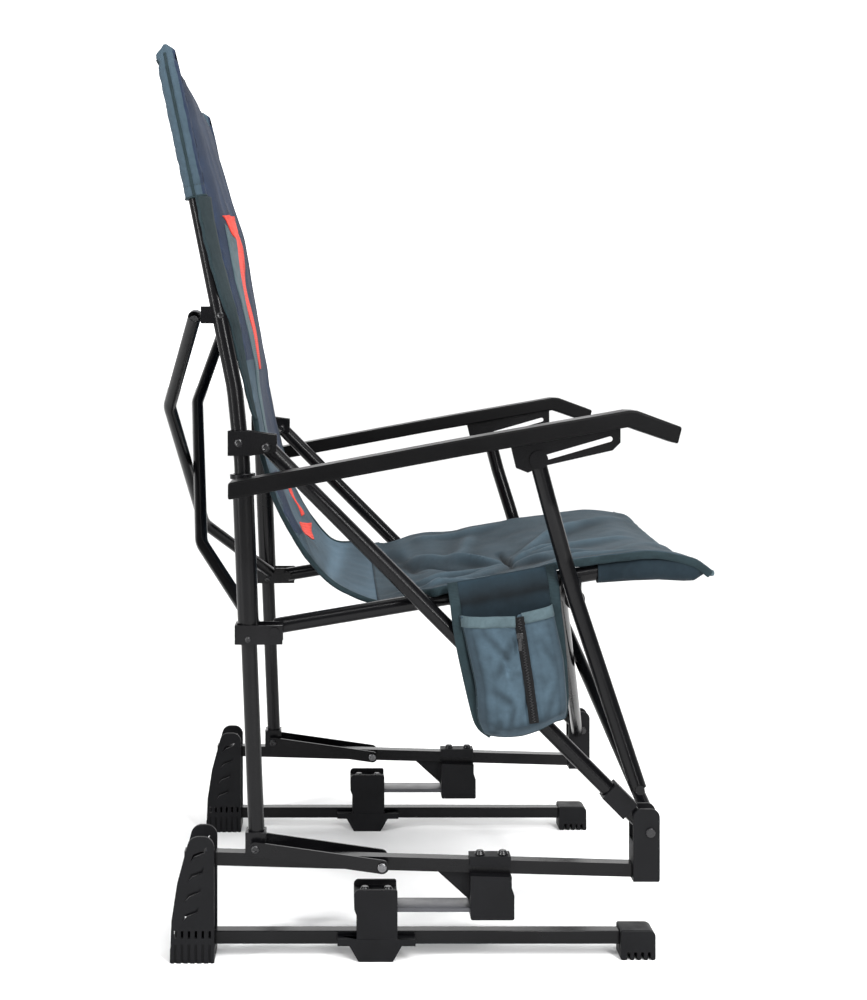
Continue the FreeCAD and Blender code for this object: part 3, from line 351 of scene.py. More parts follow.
def coat(name):
    """A hard coat of the table, made once."""
    if known(name):
        return known(name)
    shade, roughness, specular, metallic, tint, rubbed, grain = COATS[name]
    finish = Finish(name, getattr(colours(), shade), roughness, Specular_IOR_Level=specular,
                    Metallic=metallic)
    if tint:
        scale, detail, low, high = tint
        finish.paint_with(tinted(finish, finish.noise(scale, detail), low, high))
    if rubbed:
        scale, detail, broken, start, end, low, high = rubbed
        finish.rough_with(finish.remap(finish.noise(scale, detail, roughness=broken), start, end, low, high))
    if grain:
        scale, depth, strength = grain
        finish.bump_with(finish.noise(scale, 2.0), depth * MM, strength)
    return finish.material


# painted highlight: how much lighter the crests of the folds are painted
CREST_HIGHLIGHT = 1.62


def fold_shade_and_highlight(finish, colour_out, low):
    """Paints shade into the hollows of the folds and a highlight onto their crests, by the mesh's own fold
    heights.
    """
    fold = finish.add("ShaderNodeAttribute", attribute_name="fold").outputs["Fac"]
    return finish.shaded(colour_out, finish.remap(fold, -1.0, 1.0, low, CREST_HIGHLIGHT))


# rows of stitches: half width of a thread and of its soft edge, pitch, width of the dent beside it; the share
# of the pitch that a stitch takes
STITCH_HALF, STITCH_EDGE, STITCH_LONG, STITCH_DENT = 0.5 * MM, 0.9 * MM, 4.2 * MM, 4.0 * MM
STITCH_SHARE = 0.68
THREAD_COLOUR = (0.02, 0.03, 0.035, 1.0)
WEAVE_DEPTH = 0.22 * MM
RIB_PITCH, RIB_DEPTH = 1.6 * MM, 0.25 * MM


def woven(name, base, rows=(), hollow_shade=0.30):
    """Woven polyester on the piece's own flat map in metres, with rows of stitches.

    A row is (0 or 1 for the map's direction that it lies across, its place in metres)."""
    if known(name):
        return known(name)
    finish = Finish(name, base, 0.85, Sheen_Weight=0.025, Sheen_Roughness=0.5, Specular_IOR_Level=0.15)
    parts = finish.add("ShaderNodeSeparateXYZ", {"Vector": finish.coords.outputs["UV"]}).outputs
    thread = sizes().thread
    waves = [finish.maths("SINE", finish.times(part, 2 * math.pi / thread)) for part in parts[:2]]
    weave = finish.times(*waves)
    mottle = finish.noise(7.0, 5.0, "UV", 0.6)
    fine = finish.noise(160.0, 3.0, "UV", 0.6)
    shade = finish.maths("ADD", finish.times(mottle, 0.7), finish.times(fine, 0.3))
    shade = finish.maths("ADD", shade, finish.times(weave, 0.04))
    colour_out = tinted(finish, shade, 0.72, 1.3)
    height = finish.times(weave, 0.5)
    for direction, place in rows:
        near = finish.maths("ABSOLUTE", finish.maths("SUBTRACT", parts[direction], place))
        on_row = finish.remap(near, STITCH_HALF, STITCH_EDGE, 1.0, 0.0)
        run = finish.maths("FRACT", finish.maths("DIVIDE", parts[1 - direction], STITCH_LONG))
        stitch = finish.times(on_row, finish.maths("LESS_THAN", run, STITCH_SHARE))
        colour_out = finish.mix(finish.times(stitch, 0.75), colour_out, THREAD_COLOUR)
        dent = finish.remap(near, 0.0, STITCH_DENT, -3.0, 0.0)
        height = finish.maths("ADD", height, finish.maths("ADD", dent, finish.times(stitch, 2.0)))
    # painted shade in the hollows of the folds and painted highlight on their crests
    finish.paint_with(fold_shade_and_highlight(finish, colour_out, hollow_shade))
    finish.bump_with(height, WEAVE_DEPTH, 0.55)
    return finish.material


def grosgrain(name, base):
    """Ribbed tape for bindings and bands."""
    if known(name):
        return known(name)
    finish = Finish(name, base, 0.8, Sheen_Weight=0.02, Sheen_Roughness=0.5, Specular_IOR_Level=0.15)
    parts = finish.add("ShaderNodeSeparateXYZ", {"Vector": finish.coords.outputs["UV"]}).outputs
    ribs = finish.maths("SINE", finish.times(parts[1], 2 * math.pi / RIB_PITCH))
    finish.paint_with(tinted(finish, finish.maths("ADD", finish.noise(40.0, 4.0, "UV"),
                                                  finish.times(ribs, 0.08)), 0.75, 1.25))
    finish.bump_with(ribs, RIB_DEPTH, 0.5)
    return finish.material


def piece_from(name, shape, materials, body, slot, replaced=()):
    """Turns a bmesh into a piece that rides on a body and stands for CAD nodes."""
    mesh = bpy.data.meshes.new(name)
    shape.to_mesh(mesh)
    shape.free()
    for material in materials:
        mesh.materials.append(material)
    mesh.shade_smooth()
    mesh.set_sharp_from_angle(angle=math.radians(40))
    piece = bpy.data.objects.new(name, mesh)
    bpy.context.scene.collection.objects.link(piece)
    if body:
        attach(piece, body)
    if replaced:
        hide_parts(*replaced)
    return piece


def modifier(piece, kind, **settings):
    added = piece.modifiers.new(kind.title(), kind)
    for name, value in settings.items():
        setattr(added, name, value)
    return added


# how often the cloth is smoothed to find what its folds stand over
SMOOTHINGS = 26


def mapped_grid(shape, columns, rows, place, spread):
    """Adds a grid whose corner (i, j) goes to place(i / columns, j / rows), with a flat map in metres.

    The vertices of row j come back as the j-th list."""
    made = bmesh.ops.create_grid(shape, x_segments=columns, y_segments=rows, size=0.5)["verts"]
    grid = [[None] * (columns + 1) for _ in range(rows + 1)]
    for vert in made:
        i = round((vert.co.x + 0.5) * columns)
        j = round((vert.co.y + 0.5) * rows)
        grid[j][i] = vert
    flat = shape.loops.layers.uv.get("flat") or shape.loops.layers.uv.new("flat")
    index = {vert: (i / columns, j / rows) for j, line in enumerate(grid) for i, vert in enumerate(line)}
    width, height = spread
    for vert in made:
        for loop in vert.link_loops:
            i, j = index[vert]
            loop[flat].uv = (i * width, j * height)
    for vert, (i, j) in index.items():
        vert.co = place(i, j)
    return grid


def laid_cloth(name, grid, place, spread, materials, slot="fabric", thick=0.0, folds=0.0, replaced=(),
               change=None):
    """A sheet of cloth on the chair: a grid with a thickness, and its fold heights where a scale is given."""
    shape = bmesh.new()
    mapped_grid(shape, *grid, place, spread)
    bmesh.ops.recalc_face_normals(shape, faces=shape.faces)
    if change:
        change(shape)
    if folds:
        fold_heights(shape, folds)
    piece = piece_from(name, shape, materials, "chair", slot, replaced)
    modifier(piece, "SOLIDIFY", thickness=thick, offset=0.0)
    return piece


def cloth_sleeve(name, grid, place, spread, materials, change=None):
    """A closed sleeve of cloth on the chair, from a grid whose sides meet."""
    shape = bmesh.new()
    tube_grid(shape, *grid, place, spread)
    if change:
        change(shape)
    bmesh.ops.recalc_face_normals(shape, faces=shape.faces)
    sleeve = piece_from(name, shape, materials, "chair", "fabric")


def fold_heights(shape, scale):
    """Keeps, at each vertex, how far it stands over its wider surroundings along the face; the cloth finishes
    paint shade and highlight from it.
    """
    layer = shape.verts.layers.float.get("fold") or shape.verts.layers.float.new("fold")
    shape.verts.ensure_lookup_table()
    shape.normal_update()
    smooth = [vert.co.copy() for vert in shape.verts]
    near = [[edge.other_vert(vert).index for edge in vert.link_edges] for vert in shape.verts]
    for _ in range(SMOOTHINGS):
        smooth = [sum((smooth[k] for k in others), spot) / (len(others) + 1)
                  for spot, others in zip(smooth, near)]
    for vert, spot in zip(shape.verts, smooth):
        inner = 0.0 if vert.is_boundary else 1.0
        vert[layer] = min(max((vert.co - spot).dot(vert.normal) / scale, -1.0), 1.0) * inner


def tube_grid(shape, around, rows, place, spread):
    """A closed tube from a grid whose first and last columns meet."""
    grid = mapped_grid(shape, around, rows, place, spread)
    verts = [v for line in grid for v in line]
    bmesh.ops.remove_doubles(shape, verts=verts, dist=1e-6)
    bmesh.ops.holes_fill(shape, edges=[e for e in shape.edges if e.is_boundary], sides=0)


def smooth_step(low, high, value):
    share = min(max((value - low) / (high - low), 0.0), 1.0)
    return share * share * (3 - 2 * share)


def table(rows, place):
    """A value between the rows of a table (place, value), whichever way the places run."""
    rows = sorted(rows)
    if place <= rows[0][0]:
        return rows[0][1]
    for first, second in zip(rows, rows[1:]):
        if place <= second[0]:
            share = (place - first[0]) / (second[0] - first[0])
            return first[1] + (second[1] - first[1]) * share
    return rows[-1][1]


class Line:
    """A smooth line through points of the side view, by the share of its length."""

    def __init__(self, points, steps=12):
        self.places = []
        ends = [2 * Vector(points[0]) - Vector(points[1])] + [Vector(p) for p in points]
        ends.append(2 * Vector(points[-1]) - Vector(points[-2]))
        for a, b, c, d in zip(ends, ends[1:], ends[2:], ends[3:]):
            for step in range(steps):
                t = step / steps
                self.places.append(0.5 * (2 * b + (c - a) * t + (2 * a - 5 * b + 4 * c - d) * t * t
                                          + (3 * b - a - 3 * c + d) * t * t * t))
        self.places.append(ends[-2])
        self.runs = [0.0]
        for first, second in zip(self.places, self.places[1:]):
            self.runs.append(self.runs[-1] + (second - first).length)
        self.length = self.runs[-1]

    def at(self, share):
        """The place and the direction at a share of the length."""
        run = min(max(share, 0.0), 1.0) * self.length
        number = next((k for k, end in enumerate(self.runs[1:]) if end >= run), len(self.places) - 2)
        first = self.places[number]
        second = self.places[number + 1]
        part = (run - self.runs[number]) / max(self.runs[number + 1] - self.runs[number], 1e-9)
        before = self.places[max(number - 2, 0)]
        after = self.places[min(number + 3, len(self.places) - 1)]
        return first.lerp(second, part), (after - before).normalized()


def ridges(along, across, folds):
    """The height of the cloth's folds at a place of its flat cut."""
    height = 0.0
    for start_a, start_b, end_a, end_b, rise, width in folds:
        start = Vector((start_a, start_b))
        run = Vector((end_a, end_b)) - start
        here = Vector((along, across)) - start
        share = min(max(here.dot(run) / run.length_squared, 0.0), 1.0)
        apart = (here - run * share).length
        taper = math.sin(math.pi * (0.08 + 0.84 * share))
        height += rise * taper * math.exp(-(apart / width) ** 2)
    return height


def ripple(along, across, scale, seed):
    """Even noise at a place of the flat cut, from about -1 to 1."""
    return noise.noise(Vector((along * scale, across * scale, seed)))


def worn(along, across, ripples):
    """The sum of several ripples: their rise, scale and seed."""
    return sum(rise * ripple(along, across, scale, seed) for rise, scale, seed in ripples)


def side_place(line, share, across, lift):
    """A point on a sheet: on its line in the side view, at a width, lifted off its face."""
    spot, along = line.at(share)
    return Vector((spot.x - along.y * lift, across, spot.y + along.x * lift))


BACK = Line(BACK_LINE)
SEAT = Line(SEAT_LINE)


def back_share(height):
    """The share of the back's line at which it passes a height."""
    low, high = 0.0, 1.0
    for _ in range(30):
        middle = (low + high) / 2
        if BACK.at(middle)[0].y > height:
            low = middle
        else:
            high = middle
    return (low + high) / 2


def back_half(height):
    """Half the width of the back at a height."""
    own = sizes()
    hip = smooth_step(0.705, 0.655, height)
    waist = smooth_step(0.545, 0.500, height)
    return own.back_half + (own.hip_half - own.back_half) * hip + (own.waist_half - own.hip_half) * waist


# small ripples of worn cloth: rise, scale, seed
BACK_RIPPLES = ((2.2 * MM, 9.0, 2.1), (0.9 * MM, 31.0, 5.3))
SEAT_RIPPLES = ((2.6 * MM, 10.0, 7.7), (1.2 * MM, 34.0, 3.1))
# how far the lower back lies in, the upper back swells, the seat sags and its front hem hangs
BACK_SLACK, BACK_SWELL, SEAT_SAG, SEAT_HEM_DROP = 9.0 * MM, 6.0 * MM, 21.0 * MM, 12.0 * MM
SWELL_HEIGHT, SWELL_REACH = 865.0 * MM, 45.0 * MM
# the dip of the seam beside the border, and the puckers along seams: rise, width, turns per metre
SEAM_DIP, SEAM_WIDE = 1.8 * MM, 3.0 * MM
PUCKER, PUCKER_WIDE, BACK_PUCKERS, SEAT_PUCKERS = 1.2 * MM, 12.0 * MM, 190, 42
# how strongly the folds' table shows
BACK_FOLD_SHARE, SEAT_FOLD_SHARE = 0.6, 1.5
# where the back's foot takes on the seat's form, and how far it lies under the seat
JOIN_FROM, JOIN_TO, JOIN_UNDER = -125.0 * MM, -75.0 * MM, 1.2 * MM


def back_lift(share, width):
    """How far the back stands in front of its line: its edges lie back beside the posts."""
    run = share * BACK.length
    along, height = BACK.at(share)[0]
    edge = smooth_step(0.70, 1.0, abs(width)) * table(BACK_EDGE_SET, height)
    across = width * sizes().back_half
    slack = BACK_SLACK * smooth_step(0.45, 0.6, share) * (1 - width * width)
    swell = BACK_SWELL * math.exp(-((height - SWELL_HEIGHT) / SWELL_REACH) ** 2) * (1 - width * width)
    lift = swell - edge - slack + BACK_FOLD_SHARE * ridges(run, across, BACK_FOLDS)
    lift += worn(run, across, BACK_RIPPLES)
    seam = abs(abs(across) - (sizes().back_half - sizes().border))
    lift -= SEAM_DIP * math.exp(-(seam / SEAM_WIDE) ** 2)
    pucker = math.sin(run * BACK_PUCKERS + 7 * ripple(run, 0.0, 12.0, 1.0))
    lift += PUCKER * math.exp(-(seam / PUCKER_WIDE) ** 2) * pucker
    joined = smooth_step(JOIN_FROM, JOIN_TO, along)
    under = seat_lift(max(along - SEAT_LINE[0][0], 0.0) / SEAT.length, width) - JOIN_UNDER
    return lift * (1 - joined) + under * joined


def back_place(width, share, lift=0.0):
    """A point of the back: width from -1 to 1 across it, share from its top to its foot."""
    spot, _ = BACK.at(share)
    half = back_half(spot.y)
    return side_place(BACK, share, width * half, back_lift(share, width) + lift)


def seat_lift(share, width):
    """How far the seat stands over its line, with its sag, its folds and its scalloped edges."""
    run = share * SEAT.length
    across = width * sizes().seat_half
    along = SEAT.at(share)[0].x
    sag = SEAT_SAG * (1 - abs(width) ** 2.4) * math.sin(math.pi * min(0.25 + share * 0.78, 1.0))
    lift = SEAT_FOLD_SHARE * ridges(run, across, SEAT_FOLDS) - sag
    lift += table(SEAT_FAR_RISE, along) * smooth_step(-0.9, 0.95, width)
    lift += worn(run, across, SEAT_RIPPLES)
    lift += smooth_step(0.86, 1.0, abs(width)) * PUCKER * math.sin(run * SEAT_PUCKERS + 1.2)
    front = smooth_step(0.80, 1.0, share) * (1 - abs(width) ** 3)
    return lift - SEAT_HEM_DROP * front


# where the seat takes its whole width
SEAT_WIDENS = (-20.0 * MM, 4.0 * MM)


def seat_half(share):
    """Half the width of the seat: narrow between the rails at its back."""
    spot, _ = SEAT.at(share)
    own = sizes()
    return own.waist_half + (own.seat_half - own.waist_half) * smooth_step(*SEAT_WIDENS, spot.x)


# shares of the seat's length by which its hem runs back, at the far half and at the far corner
HEM_BACK, HEM_CORNER = 0.062, 0.035


def seat_place(width, share, lift=0.0):
    """A point of the seat; its front hem runs back towards the far side, as worn cloth does."""
    share *= 1 - HEM_BACK * smooth_step(-1.0, 0.1, width) - HEM_CORNER * smooth_step(0.78, 1.0, width) ** 2
    return side_place(SEAT, share, width * seat_half(share), seat_lift(share, width) + lift)


def strip(name, spots, halves, material, drop=0.0, slot="fabric"):
    """A bound edge: a flattened tube of half a thickness and half a height along a list of points."""
    half_thick, half_high = halves
    runs = [0.0]
    for first, second in zip(spots, spots[1:]):
        runs.append(runs[-1] + (second - first).length)
    shape = bmesh.new()
    last = len(spots) - 1

    def place(i, j):
        number = round(j * last)
        along = (spots[min(number + 1, last)] - spots[max(number - 1, 0)]).normalized()
        side = along.cross(Vector((0.0, 0.0, 1.0)))
        if side.length < 0.05:
            side = Vector((1.0, 0.0, 0.0))
        side.normalize()
        up = side.cross(along).normalized()
        turn = 2 * math.pi * i
        fat = 1 + 0.16 * ripple(runs[number], 0.0, 55.0, half_high * 900)
        offset = side * math.cos(turn) * half_thick * fat + up * (math.sin(turn) * half_high * fat - drop)
        return spots[number] + offset

    tube_grid(shape, 12, last, place, (2 * math.pi * half_high, runs[-1]))
    bmesh.ops.recalc_face_normals(shape, faces=shape.faces)
    piece_from(name, shape, [material], "chair", slot)


def refined(node, slot, radius, segments):
    """A copy of a CAD node, merged, with its edges rounded and its own finish."""
    shape = bmesh.new()
    shape.from_mesh(frame["nodes"][node].data)
    bmesh.ops.remove_doubles(shape, verts=shape.verts, dist=1e-6)
    bmesh.ops.dissolve_limit(shape, angle_limit=math.radians(0.5), verts=shape.verts, edges=shape.edges)
    piece = piece_from(node + "_finished", shape, [coat(COAT_OF_SLOT[slot])], BODY_OF[node], slot, (node,))
    modifier(piece, "BEVEL", width=radius, segments=segments, limit_method="ANGLE",
             angle_limit=math.radians(45), use_clamp_overlap=True, harden_normals=False)


# lamps: kind, place in metres, settings
LAMPS = {
    "sun": ("SUN", (0.9, -0.5, 2.4), {"angle": math.radians(45)}),
    "key": ("AREA", (1.2, -2.6, 1.7), {"size": 0.22, "size_y": 2.0, "shape": "RECTANGLE"}),
    "strip": ("AREA", (-2.2, -1.5, 1.3), {"size": 0.22, "size_y": 2.0, "shape": "RECTANGLE"}),
    "bar": ("AREA", (0.0, -2.2, 2.6), {"size": 3.2, "size_y": 0.16, "shape": "RECTANGLE"}),
    "top": ("AREA", (0.2, 0.2, 2.6), {"size": 1.2}),
}
LAMPS_AIM = (0.0, 0.0, 0.4)
FLOOR_HALF = 40
FLOOR_WHITE = (0.90, 0.90, 0.90)
SENSOR_WIDTH = 36.0


class CHAIR_OT_stage(bpy.types.Operator):
    """Pale floor, soft studio lights and the camera at the photograph's place"""
    bl_idname = "chair.stage"
    bl_label = "Stage"

    def execute(self, context):
        shot = context.scene.chair_camera
        shape = bmesh.new()
        bmesh.ops.create_grid(shape, x_segments=1, y_segments=1, size=FLOOR_HALF)
        floor_finish = Finish("floor", FLOOR_WHITE, 0.85, Specular_IOR_Level=0.2)
        mesh = bpy.data.meshes.new("floor")
        shape.to_mesh(mesh)
        shape.free()
        mesh.materials.append(floor_finish.material)
        floor = bpy.data.objects.new("floor", mesh)
        context.scene.collection.objects.link(floor)
        self.studio(context, shot)
        for name, (kind, place, settings) in LAMPS.items():
            self.lamp(context, name, kind, place, getattr(shot, name), settings)
        data = bpy.data.cameras.new("camera")
        data.sensor_width = SENSOR_WIDTH
        data.lens = shot.lens
        data.shift_x = shot.shift_x
        data.shift_y = shot.shift_y
        camera = bpy.data.objects.new("camera", data)
        camera.location = shot.place
        camera.rotation_euler = (math.radians(90), 0.0, 0.0)
        context.scene.collection.objects.link(camera)
        context.scene.camera = camera
        context.scene.view_settings.view_transform = "Standard"
        return {"FINISHED"}

    def studio(self, context, shot):
        """A dim room with a white wall behind the chair, so that black paint stays black."""
        world = bpy.data.worlds.new("studio")
        world.use_nodes = True
        tree = world.node_tree
        sky = tree.nodes["Background"]
        way = tree.nodes.new("ShaderNodeTexCoord")
        parts = tree.nodes.new("ShaderNodeSeparateXYZ")
        tree.links.new(way.outputs["Generated"], parts.inputs[0])
        wall = tree.nodes.new("ShaderNodeMapRange")
        wall.interpolation_type = "SMOOTHSTEP"
        limits = {"From Min": 0.35, "From Max": 0.80, "To Min": shot.room, "To Max": shot.sky}
        for socket, value in limits.items():
            wall.inputs[socket].default_value = value
        tree.links.new(parts.outputs["Y"], wall.inputs["Value"])
        sky.inputs["Color"].default_value = (1.0, 1.0, 1.0, 1.0)
        tree.links.new(wall.outputs["Result"], sky.inputs["Strength"])
        context.scene.world = world

    def lamp(self, context, name, kind, place, power, settings):
        """One lamp, aimed at the middle of the chair."""
        data = bpy.data.lights.new(name, kind)
        data.energy = power
        for setting, value in settings.items():
            setattr(data, setting, value)
        light = bpy.data.objects.new(name, data)
        light.location = place
        light.rotation_mode = "QUATERNION"
        light.rotation_quaternion = (Vector(LAMPS_AIM) - Vector(place)).to_track_quat("-Z", "Y")
        context.scene.collection.objects.link(light)


def rounded(kinds, slot, radius, segments=2):
    """Shows CAD nodes of both sides with their edges rounded."""
    for side, _ in SIDES:
        for kind in kinds:
            refined("%s_%s" % (side, kind), slot, radius, segments)
    return {"FINISHED"}


class CHAIR_OT_frame(bpy.types.Operator):
    """Tubes, rails, links and brackets with rounded edges and powder coat"""
    bl_idname = "chair.frame"
    bl_label = "Frame"

    def execute(self, context):
        kinds = ("ground_rail", "upper_rail", "rear_links", "brace", "post", "brace_bracket",
                 "foot_bracket", "cross_bracket", "sleeve", "sleeve_bracket", "seat_rail", "arm_strut",
                 "slot_plate", "rear_cross", "front_cross")
        return rounded(kinds, "frame", sizes().edge_round)


class CHAIR_OT_mouldings(bpy.types.Operator):
    """Boots, end caps, spring clamps, knuckles, sliders and hubs in moulded plastic"""
    bl_idname = "chair.mouldings"
    bl_label = "Mouldings"

    def execute(self, context):
        kinds = ("end_cap", "rear_boot", "lower_clamp", "upper_clamp", "knuckle", "slider", "strut_hub")
        return rounded(kinds, "plastic", sizes().mould_round, segments=3)


class CHAIR_OT_fasteners(bpy.types.Operator):
    """Dome bolts of the clamps and the pivot bolts"""
    bl_idname = "chair.fasteners"
    bl_label = "Fasteners"

    def execute(self, context):
        return rounded(("lower_bolts", "upper_bolts", "pivot_bolts"), "fastener", sizes().bolt_round)


# profiles of turned heads: shares of the radius and of the height
SOCKET_HEAD = ((0.0, 0.35), (0.42, 0.35), (0.46, 0.85), (0.62, 1.0), (0.85, 0.75), (0.98, 0.35), (1.0, -0.1))
DISC = ((0.0, 1.0), (0.55, 1.0), (0.80, 0.95), (0.95, 0.7), (1.0, 0.3), (1.0, -0.4))
HEAD_SIDES = 24
# how far outside a node the line starts that finds its face
RAY_START = 10.0 * MM


class CHAIR_OT_rivets(bpy.types.Operator):
    """Heads of rivets and socket bolts on the brackets, and the plugs of the tubes' ends"""
    bl_idname = "chair.rivets"
    bl_label = "Rivets"

    def execute(self, context):
        groups = {"dark": bmesh.new(), "bright": bmesh.new(), "plug": bmesh.new()}
        for side, sign in SIDES:
            for *numbers, kind, node in RIVETS:
                along, up, radius, height = (value * MM for value in numbers)
                low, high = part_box("%s_%s" % (side, node))
                if kind == "plug":
                    face = low.y if sign < 0 else high.y
                    self.head(groups[kind], Vector((along, face, up)), radius, height, sign, DISC)
                    continue
                mesh = frame["nodes"]["%s_%s" % (side, node)].data
                corners = [v.co for v in mesh.vertices]
                tree = BVHTree.FromPolygons(corners, [f.vertices for f in mesh.polygons])
                for start, way in ((low.y - RAY_START, -1), (high.y + RAY_START, 1)):
                    spot = tree.ray_cast(Vector((along, start, up)), Vector((0.0, -way, 0.0)))[0]
                    if spot:
                        self.head(groups[kind], spot, radius, height, way, SOCKET_HEAD)
        piece_from("rivet_heads", groups["dark"], [coat("black_steel")], "chair", "fastener")
        piece_from("bright_pins", groups["bright"], [coat("bright_steel")], "chair", "fastener")
        piece_from("tube_plugs", groups["plug"], [coat("grey_plug")], "chair", "plastic")
        return {"FINISHED"}

    def head(self, shape, place, radius, height, way, profile):
        """A turned head, out of a profile spun round its axis."""
        rings = []
        for share, rise in profile:
            ring = []
            for k in range(HEAD_SIDES):
                turn = 2 * math.pi * k / HEAD_SIDES
                offset = Vector((math.cos(turn) * radius * share, way * height * rise,
                                 math.sin(turn) * radius * share))
                ring.append(shape.verts.new(place + offset))
            rings.append(ring)
        for first, second in zip(rings, rings[1:]):
            for k in range(HEAD_SIDES):
                after = (k + 1) % HEAD_SIDES
                shape.faces.new((first[k], first[after], second[after], second[k]))
        bmesh.ops.remove_doubles(shape, verts=rings[0], dist=1e-7)
        bmesh.ops.recalc_face_normals(shape, faces=shape.faces)


# a stretch between the leaf springs' clamps, which nothing reads, and in how many steps the springs are cut
# along their length
BEND_FROM, BEND_TO, SPRING_CUTS = -40.0 * MM, 44.0 * MM, 40


class CHAIR_OT_springs(bpy.types.Operator):
    """Leaf springs between the ground frame and the chair, as straight bars cut into steps with rounded edges
    """
    bl_idname = "chair.springs"
    bl_label = "Leaf springs"

    def execute(self, context):
        for side, _ in SIDES:
            node = side + "_leaf_spring"
            low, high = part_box(node)
            shape = bmesh.new()
            bmesh.ops.create_cube(shape, size=1.0)
            middle = (low + high) / 2
            bmesh.ops.scale(shape, vec=high - low, verts=shape.verts)
            bmesh.ops.translate(shape, vec=middle, verts=shape.verts)
            long_edges = [e for e in shape.edges if abs((e.verts[0].co - e.verts[1].co).x) > 0.01]
            bmesh.ops.subdivide_edges(shape, edges=long_edges, cuts=SPRING_CUTS, use_grid_fill=True)
            sharp = [e for e in shape.edges if e.calc_face_angle(0.0) > 0.5]
            bmesh.ops.bevel(shape, geom=sharp, offset=0.9 * MM, segments=2, affect="EDGES", profile=0.5,
                            material=-1)
            spring = piece_from(node + "_finished", shape, [coat("spring_coat")], None, "spring", (node,))
            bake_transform(spring)
        return {"FINISHED"}


class CHAIR_OT_armrests(bpy.types.Operator):
    """Armrests with their turned-down fronts and end plugs"""
    bl_idname = "chair.armrests"
    bl_label = "Armrests"

    def execute(self, context):
        return rounded(("armrest",), "arm", sizes().arm_round, segments=3)


# stitched rows: beside the border, along the side edges, under the top and over the seat's hem
BESIDE, HEM, TOP_HEM, SEAT_HEM = 3.0 * MM, 12.0 * MM, 14.0 * MM, 16.0 * MM
# heights of the navy panel: its top, the foot of its whole width, of its far part and of its tongue
NAVY_TOP, NAVY_WHOLE, NAVY_FAR, NAVY_TONGUE = 1048.0 * MM, 700.0 * MM, 565.0 * MM, 487.0 * MM
# shapes sewn on the back: how far they lie over it, and their thickness
SEWN_LIFT, SEWN_THICK = 1.7 * MM, 0.9 * MM
# the axis of a post's pocket in the side view, from its foot to its top, and its place across
POCKET_AXIS = in_metres((-278.3, 891), (-316.6, 1071.5))
POST_ACROSS = 250.2 * MM
# how far ahead of the axis the pocket takes the navy cloth
POCKET_FRONT_FACE = 8.5 * MM
# thickness of the flap beside a post, and the size that its weave is mapped over
FLAP_THICK, FLAP_FLAT = 1.6 * MM, (18.0 * MM, 265.0 * MM)
# half the thickness and half the height of bound edges, and how far the seat's hang below its edge
PIPING, FINE_HEM, HEM_TAPE, FRONT_TAPE, TUFT_SEAM, BAG_PIPING = in_metres(
    (1.7, 1.9), (1.0, 1.2), (1.9, 4.6), (2.2, 3.6), (0.8, 0.5), (1.3, 1.5))
HEM_TAPE_DROP, FRONT_TAPE_DROP = 4.4 * MM, 1.5 * MM


